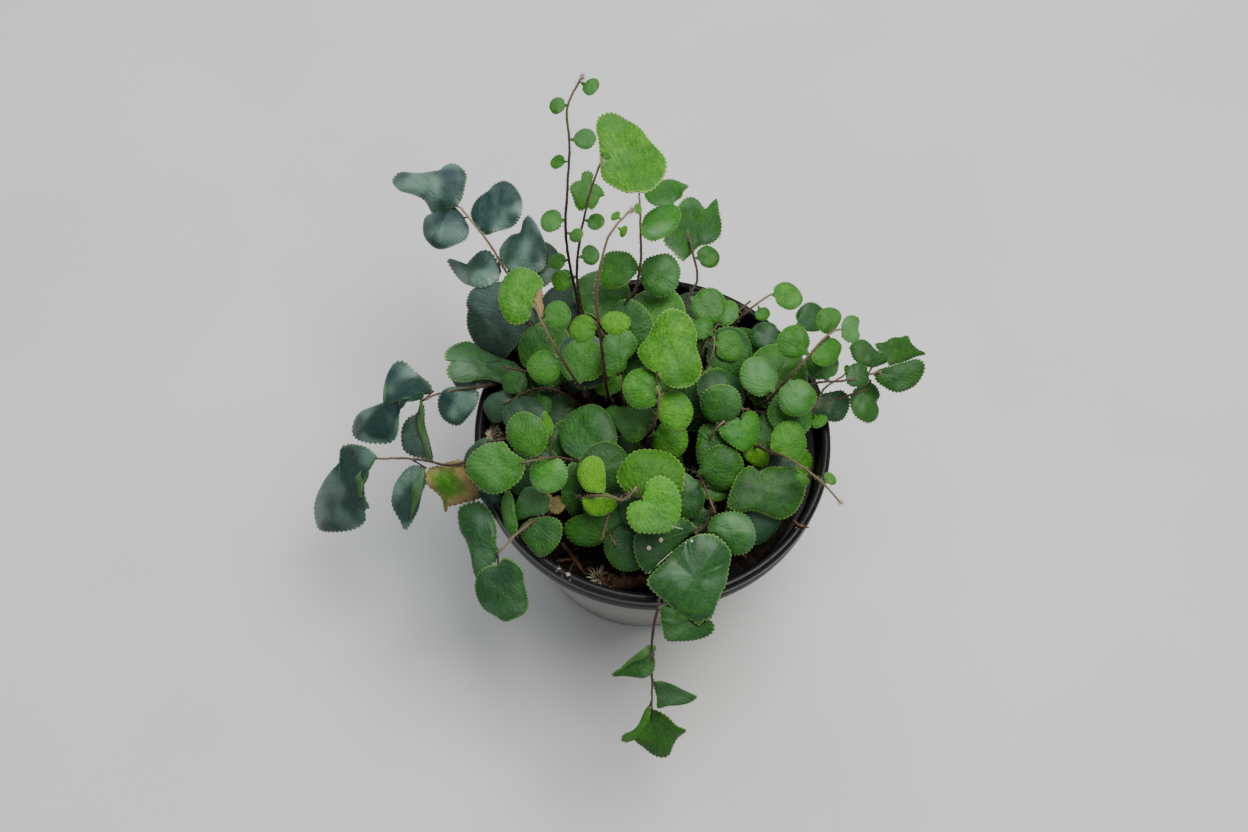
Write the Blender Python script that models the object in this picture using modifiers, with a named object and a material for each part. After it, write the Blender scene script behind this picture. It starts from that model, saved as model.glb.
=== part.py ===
"""A button fern in a round black nursery pot.

The pot, its plug of soil, a bare piece of rhizome and a dry root each are one object, and so is each
frond: a thin stem with its round leaflets grown to it. Lengths in the tables and functions are in
millimetres, bearings are degrees in plan (0 along +X, 90 along +Y, the back), and only the last step
of each piece turns millimetres into metres. The origin is the middle of the pot's flat base.
"""

import math
import random

import bmesh
import bpy
from mathutils import Matrix, Vector
from mathutils.bvhtree import BVHTree

MM = 0.001
SEED = 11

# Pot, turned round the Z axis
TURN_STEPS = 36
RIM_RADIUS = 52.5
POT_HEIGHT = 80.0
BASE_RADIUS = 33.2
FLOOR = 2.0
WALL = 1.5
FOOT_WALL = 2.4
FOOT_HEIGHT = 3.2
LIP_HEIGHT = 9.0
LIP_STEP = 2.3
DRAIN_HOLES = 6
DRAIN_RADIUS = 3.5
DRAIN_RING = 23.0

# Soil
SOIL_TOP = 68.5
SOIL_GAP = 0.3
SOIL_RINGS = 5
SOIL_WAVE = 0.5
HOLE_DEPTH = 8.0
HOLE_CLEARANCE = 0.4
HOLE_SIDES = 6

# Fronds
STEM_RADIUS = 0.68
TIP_RADIUS = 0.42
STEM_SPACING = 9.5
BLADE = 0.6
PETIOLE = 1.4
CLEARANCE = 0.35
FACING = Vector((0.0, -0.32, 1.0))
OUTWARD_LEAN = 0.28
SPREAD = 0.14
LOW_SPACING = 6.5
LOW_START = 0.26
SMALL_LEAF = 6.0
MIDDLE_LEAF = 10.0
LARGE_LEAF = 19.0

# How a blade is bent: a fold along the midrib, a cup across, a droop towards the tip, a wave round the edge,
# and how its outline departs from round: broad towards the tip, a notch at the tip, a skew to one side,
# and a sinus where the stalk meets it
FORMS = {
    "round": dict(fold=0.05, cup=0.12, droop=0.06, wave=0.02, broad=-0.03, notch=0.0, skew=0.0, sinus=0.05),
    "heart": dict(fold=0.12, cup=0.10, droop=0.08, wave=0.02, broad=-0.14, notch=0.0, skew=0.0, sinus=0.09),
    "kidney": dict(fold=0.10, cup=0.12, droop=0.10, wave=0.03, broad=-0.08, notch=0.03, skew=0.0, sinus=0.12),
    "lobed": dict(fold=0.06, cup=0.12, droop=0.12, wave=0.04, broad=-0.26, notch=0.0, skew=0.14, sinus=0.06),
    "mitten": dict(fold=0.06, cup=0.12, droop=0.05, wave=0.03, broad=-0.34, notch=0.0, skew=0.10, sinus=0.05),
    "saddle": dict(fold=-0.42, cup=0.0, droop=0.25, wave=0.06, broad=0.22, notch=0.10, skew=0.12, sinus=0.03),
    "folded": dict(fold=0.55, cup=0.05, droop=0.30, wave=0.04, broad=-0.05, notch=0.0, skew=0.1, sinus=0.02),
    "pointed": dict(fold=0.15, cup=0.05, droop=0.15, wave=0.04, broad=-0.25, notch=-0.12, skew=0.05,
                    sinus=0.04),
    "long": dict(fold=0.12, cup=0.10, droop=0.18, wave=0.05, broad=0.05, notch=0.0, skew=-0.15, sinus=0.03),
    "dying": dict(fold=0.20, cup=-0.2, droop=0.35, wave=0.07, broad=0.1, notch=0.05, skew=0.1, sinus=0.0),
}

# Each frond: name, tone (0 dark blue-green, 1 yellow-green), route (x, y, height above the floor) from
# the soil up, and its leaflets from the tip down as (percent along, bearing, length, width, form)
FRONDS = [
    ("back_tall", 0.72, [(-20, 19, 68), (-25, 27, 104), (-29, 33, 130), (-29, 42, 156), (-30, 47, 168),
                         (-27, 52, 174)],
     [(99, -20, 5, 5, "round"), (93, 180, 5, 5, "round"), (84, 10, 7, 6, "round"),
      (78, 175, 5, 4, "round"), (61, 180, 7, 7, "round"), (57, -15, 5, 4, "round"),
      (48, 180, 6, 5, "round"), (42, 200, 6, 6, "round")]),
    ("back_middle", 0.68, [(-16, 22, 68), (-24, 29, 98), (-26, 36, 113), (-24, 45, 130), (-21, 50, 142)],
     [(100, 60, 3, 3, "round"), (80, 118, 12, 10, "lobed"), (75, -5, 6, 5, "round"),
      (60, 15, 6, 6, "round"), (52, 190, 6, 6, "round")]),
    ("back_broad_tip", 0.85, [(-11, 18, 68), (-12, 27, 100), (-9, 32, 106), (-8, 36, 114), (-9, 42, 125),
                              (-10, 46, 133)],
     [(100, 109, 32, 19, "mitten"), (87, 10, 12, 12, "round"), (66, 175, 12, 12, "round"),
      (63, 14, 12, 12, "round")]),
    ("front_arching", 0.9, [(-12, 11, 68), (-14, 4, 92), (-16, 5, 112), (-18, 9, 126), (-19, 14, 136),
                            (-17, 22, 148), (-12, 28, 152)],
     [(100, 20, 3, 3, "round"), (95, 150, 3, 3, "round"), (91, -20, 3, 3, "round"),
      (64, 5, 8, 7, "round"), (61, 185, 8, 8, "round"), (22, 100, 8, 8, "round")]),
    ("left_arching", 0.85, [(-18, 8, 68), (-19, 4, 88), (-24, 3, 104), (-29, 6, 114), (-33, 10, 120),
                            (-36, 15, 123)],
     [(93, 128, 15, 13, "round"), (91, 30, 8, 8, "round"), (71, 210, 10, 9, "round")]),
    ("middle_broad_tip", 0.9, [(-2, 2, 68), (-1, -8, 96), (0, -9, 110), (0, -6, 116), (-1, -4.5, 118)],
     [(100, 75, 22, 17, "mitten"), (93, 185, 11, 11, "round"), (82, 0, 11, 10, "round"),
      (59, 160, 11, 11, "round"), (44, -15, 11, 11, "round")]),
    ("right_upper", 0.75, [(26, 12, 68), (31, 5, 95), (35, 7, 104), (39, 11, 108), (46, 20, 110),
                           (50, 23, 109)],
     [(100, 20, 7, 6, "round"), (94, 115, 7, 7, "round"), (86, -35, 8, 8, "round"),
      (79, 145, 10, 10, "round"), (64, -58, 11, 11, "round"), (54, 140, 12, 11, "round")]),
    ("right_long", 0.68, [(20, 16, 68), (30, 9, 92), (45, 11, 98), (55, 14, 96), (67, 21, 92)],
     [(100, 50, 14, 10, "pointed"), (96, -14, 14, 10, "round"), (88, 110, 10, 9, "round"),
      (82, -60, 6, 6, "round"), (68, 110, 10, 10, "round")]),
    ("right_low", 0.5, [(23, 10, 68), (33, 8, 84), (50, 12, 87), (62, 17, 85)],
     [(98, -75, 11, 9, "round"), (78, -80, 8, 9, "round")]),
    ("right_curled", 0.8, [(36, 3, 68), (43, 1, 86), (46, 7, 93), (48, 12, 93), (54, 18, 91)],
     [(100, 40, 4, 4, "round"), (60, -60, 5, 5, "round")]),
    ("right_runner", 0.88, [(25, 0, 68), (29, -6, 88), (33, -11, 96), (38, -14, 99), (47, -19, 97),
                            (53, -23, 93)],
     [(88, 50, 4, 4, "round"), (78, -115, 4, 4, "round"), (56, 65, 11, 11, "round"),
      (37, -60, 9, 8, "round")]),
    ("right_front", 0.78, [(20, -6, 68), (24, -12, 84), (28, -15, 90), (31, -16, 92)],
     [(100, -48, 15, 21, "kidney")]),
    ("right_middle", 0.72, [(12, -1, 68), (15, -7, 88), (17, -5, 95), (19.5, -3, 97)],
     [(100, -10, 12, 11, "heart"), (88, 110, 12, 11, "round"), (64, -78, 12, 12, "round")]),
    ("front_middle", 0.98, [(-21, -19, 68), (-19, -28, 92), (-15, -30, 99), (-11, -31, 102),
                            (-7, -33, 105), (-4, -31, 110)],
     [(100, -40, 16, 15, "heart"), (89, 60, 15, 18, "lobed"), (60, -90, 8, 9, "round"),
      (64, 100, 10, 8, "round")]),
    ("left_front", 0.62, [(-15, -6, 68), (-20, -18, 94), (-26, -20, 100), (-30, -22, 103),
                          (-36, -24, 103)],
     [(100, 185, 15, 16, "round"), (88, 110, 12, 11, "round"), (80, -85, 10, 10, "round"),
      (51, 88, 16, 16, "round")]),
    ("front_left_over_rim", 0.38, [(-26, -21, 68), (-26, -28, 78), (-31, -33, 85), (-36, -38, 86),
                                   (-41, -43, 82)],
     [(100, -80, 18, 15, "heart"), (99, 128, 20, 14, "long"), (62, -50, 12, 12, "round"),
      (49, 115, 9, 12, "round")]),
    ("front_dark_tip", 0.36, [(17, -16, 68), (18, -27, 86), (16, -33, 92), (13, -37, 95)],
     [(100, -86, 24, 24, "lobed"), (92, -162, 15, 16, "round"), (76, -30, 13, 13, "round"),
      (48, -140, 9, 8, "round")]),
    ("front_trailing", 0.55, [(6, -29, 68), (5, -46, 85), (5, -54, 88), (4, -61, 85), (4, -65, 80),
                              (5, -71, 70), (6, -77, 58)],
     [(100, -60, 17, 14, "folded"), (97, -115, 12, 9, "folded"), (90, 5, 13, 9, "folded"),
      (73, 190, 13, 10, "folded"), (53, -8, 16, 11, "round")]),
    ("left_dark_upper", 0.08, [(-40, 16, 68), (-46, 9, 84), (-50, 6, 88), (-54, 5, 88), (-64, 5, 82),
                               (-70, 6, 74)],
     [(100, 178, 26, 27, "saddle"), (92, -100, 17, 10, "folded"), (67, -80, 11, 13, "round")]),
    ("left_dark_lower", 0.1, [(-38, -11, 68), (-48, -17, 87), (-57, -20, 88), (-63, -18, 85),
                              (-70, -15, 79), (-81, -12, 70)],
     [(100, -135, 31, 23, "saddle"), (76, -95, 17, 10, "folded"), (50, -85, 14, 14, "dying")]),
    ("back_left_dark", 0.08, [(-31, 30, 68), (-37, 35, 85), (-42, 38, 91), (-48, 43, 92), (-54, 53, 90),
                              (-65, 69, 84)],
     [(100, 158, 32, 19, "saddle"), (95, -150, 15, 14, "round"), (87, 50, 18, 17, "round"),
      (64, 50, 18, 15, "pointed"), (60, -172, 19, 10, "folded")]),
    ("left_dark_inner", 0.22, [(-30, 23, 68), (-34, 23, 84), (-39, 27, 92)],
     [(100, 175, 21, 22, "round"), (88, -155, 15, 15, "round"), (74, 50, 20, 17, "round")]),
    ("left_inner", 0.36, [(-34, 18, 68), (-38, 16, 80), (-42, 14, 87)],
     [(100, 180, 22, 14, "long")]),
    ("back_right", 0.66, [(3, 27.5, 68), (5, 29, 95), (7, 35, 100), (9, 41, 101), (6, 54, 100),
                          (4, 65, 96)],
     [(100, 135, 13, 13, "round"), (88, 60, 19, 14, "pointed"), (72, 20, 8, 7, "round"),
      (64, -60, 9, 9, "round"), (52, -20, 11, 11, "round"), (40, 170, 12, 11, "round")]),
    ("back_right_low", 0.75, [(15, 23, 68), (20, 32, 88), (24, 34, 94), (28, 37, 97), (31, 39, 98)],
     [(100, 10, 10, 9, "round"), (87, -50, 5, 5, "round"), (66, 160, 9, 9, "round"),
      (50, -20, 12, 11, "round")]),
    ("middle_left", 0.62, [(-16, 1, 68), (-23, 3, 88), (-31, 4, 94), (-38, 3, 92), (-44, 1, 87)],
     [(100, 195, 9, 9, "round"), (86, 120, 8, 7, "round"), (74, -80, 7, 7, "round"),
      (66, 95, 11, 10, "round"), (52, 88, 9, 9, "heart")]),
    ("middle_short", 0.7, [(-7, 6, 68), (-9, 0, 96), (-11, 4, 106)],
     [(100, 95, 12, 10, "round"), (70, -120, 8, 8, "round")]),
    ("middle_right", 0.66, [(11, 16, 68), (13, 13, 92), (15, 18, 98), (15, 23, 99)],
     [(100, 150, 7, 7, "round"), (93, 0, 9, 9, "round"), (80, -60, 10, 9, "round")]),
    ("right_back", 0.52, [(24, 18, 68), (32, 24, 84), (36, 29, 91), (39, 32, 93)],
     [(100, 30, 12, 9, "long"), (76, 145, 9, 9, "round"), (50, -60, 13, 12, "round")]),
    ("front_short", 0.7, [(-7, -18, 68), (-9, -31, 84), (-10, -37, 88), (-8, -40, 89)],
     [(93, -45, 10, 11, "round"), (86, 180, 13, 11, "round"), (55, 155, 10, 9, "round")]),
]

# The low fronds under the canopy, which show only as leaves in its gaps. They stand on a spiral round the
# crown and arch outwards, and those in the front right quarter stay short of the bare soil there
LOW_FRONDS = 15
SPIRAL_TURN = 137.5
LOW_INNER_RADIUS = 7.0
LOW_OUTER_RADIUS = 31.0
LOW_REACH = 19.0
LOW_HEIGHT = 86.0
LOW_TONE = 0.45
LOW_SIZE = 16.5
BARE_BEARINGS = (275, 345)
BARE_RADIUS = 26.0
ROOT_SPACING = 3.0

# The fallen matter on the soil by the front rim: (x, y, radius)
RHIZOME = [(-13, -43.0, 1.2), (-8, -44.2, 2.0), (-2, -43.6, 1.8), (3, -42.2, 1.3)]
ROOT_TWIG = [(-24, -33.0, 0.8), (-20, -37.5, 1.0), (-16, -42.0, 0.7)]
ROOT_BRANCH = [(-20, -37.5, 0.9), (-25, -38.5, 0.6)]
SEAT_GAP = 0.3

BLACK_PLASTIC = (0.018, 0.018, 0.020)
DARK_SOIL = (0.016, 0.011, 0.008)
BROWN_ROOT = (0.12, 0.055, 0.03)
STEM_BROWN = (0.075, 0.030, 0.018)
DARK_GREEN = (0.014, 0.055, 0.040)
MIDDLE_GREEN = (0.045, 0.17, 0.035)
BRIGHT_GREEN = (0.16, 0.42, 0.055)


def remove_everything():
    for obj in list(bpy.data.objects):
        bpy.data.objects.remove(obj, do_unlink=True)


def material(name, colour, roughness):
    made = bpy.data.materials.new(name)
    made.use_nodes = True
    shader = made.node_tree.nodes["Principled BSDF"]
    shader.inputs["Base Color"].default_value = (*colour, 1.0)
    shader.inputs["Roughness"].default_value = roughness
    shader.inputs["Metallic"].default_value = 0.0
    return made


def leaf_colour(tone):
    """Dark, middle and bright green, mixed in two straight stretches of the tone."""
    low, high, share = DARK_GREEN, MIDDLE_GREEN, tone * 2
    if tone > 0.5:
        low, high, share = MIDDLE_GREEN, BRIGHT_GREEN, tone * 2 - 1
    return tuple(a + (b - a) * share for a, b in zip(low, high))


def new_collection(name, parent, hidden=False):
    made = bpy.data.collections.new(name)
    made.hide_render = hidden
    parent.children.link(made)
    return made


def add_object(name, data, collection):
    obj = bpy.data.objects.new(name, data)
    collection.objects.link(obj)
    return obj


def evaluated_copy(obj):
    """A new mesh of the object with its modifiers, or of the curve, with the seams of loose caps welded."""
    graph = bpy.context.evaluated_depsgraph_get()
    mesh = bpy.data.meshes.new_from_object(obj.evaluated_get(graph))
    work = bmesh.new()
    work.from_mesh(mesh)
    bmesh.ops.remove_doubles(work, verts=work.verts, dist=0.00001)
    work.to_mesh(mesh)
    work.free()
    return mesh


def to_mesh_object(obj, collection):
    """Replaces a curve, or an object with modifiers, with a mesh object of the same name and place."""
    name, matrix, mesh = obj.name, obj.matrix_world.copy(), evaluated_copy(obj)
    bpy.data.objects.remove(obj, do_unlink=True)
    made = add_object(name, mesh, collection)
    made.matrix_world = matrix
    return made


def turned(name, profile, collection):
    """A profile of (radius, height) turned round Z. It runs down its outer side."""
    mesh = bpy.data.meshes.new(name)
    work = bmesh.new()
    corners = [work.verts.new((radius * MM, 0, height * MM)) for radius, height in profile]
    for first, second in zip(corners, corners[1:]):
        work.edges.new((first, second))
    work.to_mesh(mesh)
    work.free()
    obj = add_object(name, mesh, collection)
    screw = obj.modifiers.new("Screw", "SCREW")
    screw.steps = screw.render_steps = TURN_STEPS
    screw.use_merge_vertices = True
    screw.merge_threshold = 0.0001
    return to_mesh_object(obj, collection)


def cutter_cylinder(name, place, radius, depth, sides, collection):
    mesh = bpy.data.meshes.new(name)
    work = bmesh.new()
    bmesh.ops.create_cone(work, cap_ends=True, segments=sides, radius1=radius * MM, radius2=radius * MM,
                          depth=depth * MM, matrix=Matrix.Translation(Vector(place) * MM))
    work.to_mesh(mesh)
    work.free()
    obj = add_object(name, mesh, collection)
    obj.hide_render = True
    obj.display_type = "WIRE"
    return obj


def joined(obj, others, operation, collection):
    """Applies one Boolean on the collection of the others, then removes them and their collection."""
    cut = obj.modifiers.new("Boolean", "BOOLEAN")
    cut.operation = operation
    cut.operand_type = "COLLECTION"
    cut.collection = others
    cut.material_mode = "TRANSFER"
    made = to_mesh_object(obj, collection)
    for other in list(others.objects):
        bpy.data.objects.remove(other, do_unlink=True)
    bpy.data.collections.remove(others)
    return made


def wall_radius(height):
    """The pot's outer wall below the lip, as a straight taper."""
    top_radius, top = RIM_RADIUS - LIP_STEP, POT_HEIGHT - LIP_HEIGHT
    return BASE_RADIUS + 1 + (top_radius - BASE_RADIUS - 1) * height / top


def bore_radius(height):
    """The pot's inner wall, straight from its foot to the lip."""
    foot, lip = wall_radius(FOOT_HEIGHT) - FOOT_WALL, wall_radius(POT_HEIGHT - LIP_HEIGHT) - WALL
    return foot + (lip - foot) * (height - FOOT_HEIGHT) / (POT_HEIGHT - LIP_HEIGHT - FOOT_HEIGHT)


def pot_profile():
    """From the middle of the floor out, up the bore, over the rim and down the outer side."""
    top, lip = POT_HEIGHT, POT_HEIGHT - LIP_HEIGHT
    inner_rim = RIM_RADIUS - LIP_STEP - WALL + 0.6
    return [
        (0, FLOOR), (BASE_RADIUS - FOOT_WALL, FLOOR), (bore_radius(FOOT_HEIGHT), FOOT_HEIGHT),
        (bore_radius(lip), lip), (inner_rim, top - 1.4), (inner_rim + 0.9, top - 0.2),
        (RIM_RADIUS - 0.9, top), (RIM_RADIUS, top - 1.2), (RIM_RADIUS - 0.2, lip + 0.6),
        (wall_radius(lip), lip), (wall_radius(1.2), 1.2), (BASE_RADIUS, 0), (0, 0),
    ]


def make_pot(collection, helpers):
    pot = turned("pot", pot_profile(), collection)
    holes = new_collection("drain_holes", helpers, hidden=True)
    for index in range(DRAIN_HOLES):
        turn = 2 * math.pi * (index + 0.5) / DRAIN_HOLES
        place = (DRAIN_RING * math.cos(turn), DRAIN_RING * math.sin(turn), FLOOR / 2)
        cutter_cylinder("drain_hole", place, DRAIN_RADIUS, 2 * FLOOR, 12, holes)
    pot = joined(pot, holes, "DIFFERENCE", collection)
    pot.data.materials.clear()
    pot.data.materials.append(material("black plastic", BLACK_PLASTIC, 0.45))


def soil_height(x, y):
    """The soil's top: nearly flat, gently uneven, and lower by the wall."""
    uneven = math.sin(x / 8.0 + 1.0) * math.cos(y / 7.0) + 0.6 * math.sin((x + y) / 5.0)
    return SOIL_TOP + SOIL_WAVE * uneven - 0.0006 * (x * x + y * y)


def make_soil(roots, collection, helpers):
    edge = bore_radius(SOIL_TOP - 3) - SOIL_GAP
    profile = [(edge * ring / SOIL_RINGS, SOIL_TOP) for ring in range(SOIL_RINGS + 1)]
    profile += [(bore_radius(FOOT_HEIGHT) - SOIL_GAP, FOOT_HEIGHT + SOIL_GAP),
                (BASE_RADIUS - FOOT_WALL - SOIL_GAP, FLOOR + SOIL_GAP), (0, FLOOR + SOIL_GAP)]
    soil = turned("soil", profile, collection)
    for vertex in soil.data.vertices:
        x, y, height = vertex.co / MM
        if height > SOIL_TOP - 1:
            vertex.co.z = soil_height(x, y) * MM
    holes = new_collection("stem_holes", helpers, hidden=True)
    for x, y in roots:
        place = (x, y, SOIL_TOP)
        radius = STEM_RADIUS + HOLE_CLEARANCE
        cutter_cylinder("stem_hole", place, radius, 2 * HOLE_DEPTH, HOLE_SIDES, holes)
    soil = joined(soil, holes, "DIFFERENCE", collection)
    soil.data.materials.clear()
    soil.data.materials.append(material("potting soil", DARK_SOIL, 0.95))
    return soil


def lying_path(points):
    """Points lying on the soil, each at the soil's height plus its own radius and the seat's gap."""
    path = [Vector((x, y, soil_height(x, y) + radius + SEAT_GAP)) for x, y, radius in points]
    return path, [radius for _, _, radius in points]


def smooth_points(route, count):
    """A Catmull-Rom curve through the route, read at even steps of its length. It leaves the soil upright."""
    below = route[0] - Vector((0, 0, (route[1] - route[0]).length))
    corners = [below] + route + [2 * route[-1] - route[-2]]
    fine = []
    for a, b, c, d in zip(corners, corners[1:], corners[2:], corners[3:]):
        for step in range(24):
            t = step / 24
            fine.append(0.5 * (2 * b + (c - a) * t + (2 * a - 5 * b + 4 * c - d) * t ** 2
                               + (3 * b - a - 3 * c + d) * t ** 3))
    fine.append(route[-1])
    run = [0.0]
    for first, second in zip(fine, fine[1:]):
        run.append(run[-1] + (second - first).length)
    points, index = [], 0
    for step in range(count + 1):
        wanted = run[-1] * step / count
        while index < len(run) - 2 and run[index + 1] < wanted:
            index += 1
        span = run[index + 1] - run[index]
        points.append(fine[index].lerp(fine[index + 1], (wanted - run[index]) / span))
    return points


def rings_joined(rings):
    """Rings of as many corners each, joined by triangles, as (corners, faces)."""
    corners = [corner for ring in rings for corner in ring]
    count = len(rings[0])
    faces = []
    for index in range(len(rings) - 1):
        for turn in range(count):
            low, after = index * count + turn, index * count + (turn + 1) % count
            faces.append((low, after, after + count))
            faces.append((low, after + count, low + count))
    return corners, faces


def tube_rings(path, radii):
    """Six-cornered rings round a path."""
    rings = []
    for index, point in enumerate(path):
        along = (path[min(index + 1, len(path) - 1)] - path[max(index - 1, 0)]).normalized()
        side = along.orthogonal().normalized()
        other = along.cross(side)
        angles = [math.pi * turn / 3 for turn in range(6)]
        rings.append([point + (side * math.cos(angle) + other * math.sin(angle)) * radii[index]
                      for angle in angles])
    return rings_joined(rings)


def turned_rings(profile):
    """Rings round the Z axis at each (radius, height) of a profile."""
    angles = [2 * math.pi * turn / TURN_STEPS for turn in range(TURN_STEPS)]
    return rings_joined([[Vector((radius * math.cos(angle), radius * math.sin(angle), height))
                          for angle in angles] for radius, height in profile])


class Stem:
    """A frond's stem: points from the soil to the tip, with the root below them."""

    def __init__(self, route, bend=Vector((0, 0, 0))):
        corners = [Vector(point) for point in route]
        corners[0].z = soil_height(corners[0].x, corners[0].y) + 1
        last = len(corners) - 1
        for index in range(1, last):
            corners[index] = corners[index] + bend * math.sin(math.pi * index / last)
        rough = sum((b - a).length for a, b in zip(corners, corners[1:]))
        count = max(4, round(rough / STEM_SPACING))
        self.points = smooth_points(corners, count)
        self.length = sum((b - a).length for a, b in zip(self.points, self.points[1:]))
        root = Vector((corners[0].x, corners[0].y, SOIL_TOP - HOLE_DEPTH + SOIL_GAP + 0.1))
        self.path = [root] + self.points

    def radius(self, share):
        return STEM_RADIUS + (TIP_RADIUS - STEM_RADIUS) * share

    def radii(self):
        last = len(self.points) - 1
        return [STEM_RADIUS] + [self.radius(index / last) for index in range(last + 1)]

    def at(self, share):
        """The point and the direction of travel at a share of the length, 0 at the soil and 1 at the tip."""
        place = min(max(share, 0.0), 1.0) * (len(self.points) - 1)
        index = min(int(place), len(self.points) - 2)
        first, second = self.points[index], self.points[index + 1]
        return first.lerp(second, place - index), (second - first).normalized()

    def tube(self, extra):
        """The stem's outside, wider all round by extra, to test for crossings."""
        return tube_rings(self.path, [radius + extra for radius in self.radii()])


class Leaf:
    """A leaflet: where it grows from its stem, its size and form, and the frame that it lies in."""

    def __init__(self, stem, share, bearing, length, width, form, tilt):
        self.stem, self.share, self.bearing = stem, share, bearing
        self.length, self.width, self.form = length, width, form
        self.tilt = tilt
        self.place(0, 0, 0, 1)

    def place(self, pitch, roll, slide, scale):
        """Sets the leaflet with a pitch and a roll in degrees, slid along its stem by slide millimetres."""
        self.scale = scale
        self.base, _ = self.stem.at(self.share + slide / self.stem.length)
        outward = Vector((self.base.x, self.base.y, 0)) / RIM_RADIUS
        normal = (FACING + outward * OUTWARD_LEAN + self.tilt).normalized()
        angle = math.radians(self.bearing)
        along = Vector((math.cos(angle), math.sin(angle), 0))
        along = (along - normal * along.dot(normal)).normalized()
        across = along.cross(normal)
        turn = Matrix.Rotation(math.radians(pitch), 3, across) @ Matrix.Rotation(math.radians(roll), 3, along)
        self.axes = Matrix((turn @ across, turn @ along, turn @ normal)).transposed()

    def corners(self):
        """How many corners the outline has, the stalk's end among them."""
        if self.length < SMALL_LEAF:
            return 6
        if self.length < MIDDLE_LEAF:
            return 8
        return 10 if self.length < LARGE_LEAF else 14

    def shape(self, angle, reach):
        """The blade at an angle from its tip and a share of the way from its middle to its edge."""
        form = FORMS[self.form]
        length, width = self.length * self.scale, self.width * self.scale
        away = abs(angle)
        tip_notch = form["notch"] * math.exp(-((away / 0.5) ** 2))
        to_stalk = math.exp(-(((math.pi - away) / 0.25) ** 2))
        sinus = form["sinus"] * math.exp(-(((math.pi - away - 0.62) / 0.35) ** 2))
        edge_x = width / 2 * math.sin(angle) * (1 + form["broad"] * math.cos(angle))
        edge_x += width * form["skew"] * 0.5 * math.sin(angle) ** 2
        edge_y = PETIOLE + (length - PETIOLE) * (0.5 + 0.5 * math.cos(angle) - tip_notch - sinus)
        edge_y -= edge_y * to_stalk
        middle_y = PETIOLE + (length - PETIOLE) * 0.5
        x = edge_x * reach
        y = middle_y + (edge_y - middle_y) * reach
        across, along = 2 * x / width, y / length
        bend = form["fold"] * width * 0.25 * (math.sqrt(across ** 2 + 0.02) - 0.141)
        bend -= form["cup"] * width * 0.25 * across ** 2
        bend -= form["droop"] * length * along ** 2
        bend += form["wave"] * width * reach ** 2 * math.sin(3 * angle + 5 * self.bearing)
        bend *= min(1.0, along * 6) ** 2
        return Vector((x, y, bend))

    def angles(self):
        """The corners' angles from the tip, closer together by the stalk."""
        count = self.corners()
        for index in range(count):
            share = 2 * index / count
            share = share if share <= 1 else share - 2
            yield math.pi * math.copysign(abs(share) ** 0.9, share)

    def blade(self, thick, grow):
        """Both faces of the blade as points and faces, thick between them and its outline scaled by grow."""
        corners, faces = [], []
        count = self.corners()
        rim = [self.shape(angle, 1.0) for angle in self.angles()]
        centre = self.shape(0.0, 0.0)
        for half in (thick / 2, -thick / 2):
            lift = Vector((0, 0, half))
            corners.append(self.base + self.axes @ (centre + lift))
            for point in rim:
                grown = centre + (point - centre) * grow
                corners.append(self.base + self.axes @ (grown + lift))
        for index in range(count):
            after = (index + 1) % count
            top, next_top = 1 + index, 1 + after
            low, next_low = top + count + 1, next_top + count + 1
            faces.append((0, top, next_top))
            faces.append((count + 1, next_low, low))
            faces.append((top, low, next_low))
            faces.append((top, next_low, next_top))
        return corners, faces


class Space:
    """What already stands in the pot, to keep new stems and leaflets clear of it."""

    def __init__(self):
        self.items = []

    def add(self, shape, owner=None):
        corners, faces = shape
        middle = sum(corners, Vector()) / len(corners)
        reach = max((corner - middle).length for corner in corners)
        self.items.append((BVHTree.FromPolygons(corners, faces), middle, reach, owner))

    def blocked(self, shape, skip=None, only=None):
        corners, faces = shape
        middle = sum(corners, Vector()) / len(corners)
        reach = max((corner - middle).length for corner in corners)
        tree = None
        for other, place, size, owner in self.items:
            if (place - middle).length > reach + size:
                continue
            if (skip is not None and owner == skip) or (only is not None and owner != only):
                continue
            tree = tree or BVHTree.FromPolygons(corners, faces)
            if tree.overlap(other):
                return True
        return False


def stem_bends():
    """Ways to bend the middle of a stem aside, the smallest first."""
    yield Vector((0, 0, 0))
    for size in (1.5, 3, 4.5, 6, 8):
        for bearing in range(0, 360, 60):
            angle = math.radians(bearing)
            yield Vector((math.cos(angle), math.sin(angle), 0)) * size
        yield Vector((0, 0, size))
        yield Vector((0, 0, -size))


def leaf_turns():
    """Ways to turn, slide or shrink a leaflet, the smallest change first."""
    ways = [(pitch, roll, slide, scale)
            for pitch in (0, 9, -9, 18, -18, 30, -30) for roll in (0, 11, -11, 22, -22)
            for slide in (0, 1.5, -1.5, 3) for scale in (1, 0.92, 0.84)]
    return sorted(ways, key=lambda way: (abs(way[0]) / 9 + abs(way[1]) / 11 + abs(way[2]) / 1.5
                                         + (1 - way[3]) * 16))


LEAF_TURNS = leaf_turns()


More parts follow.
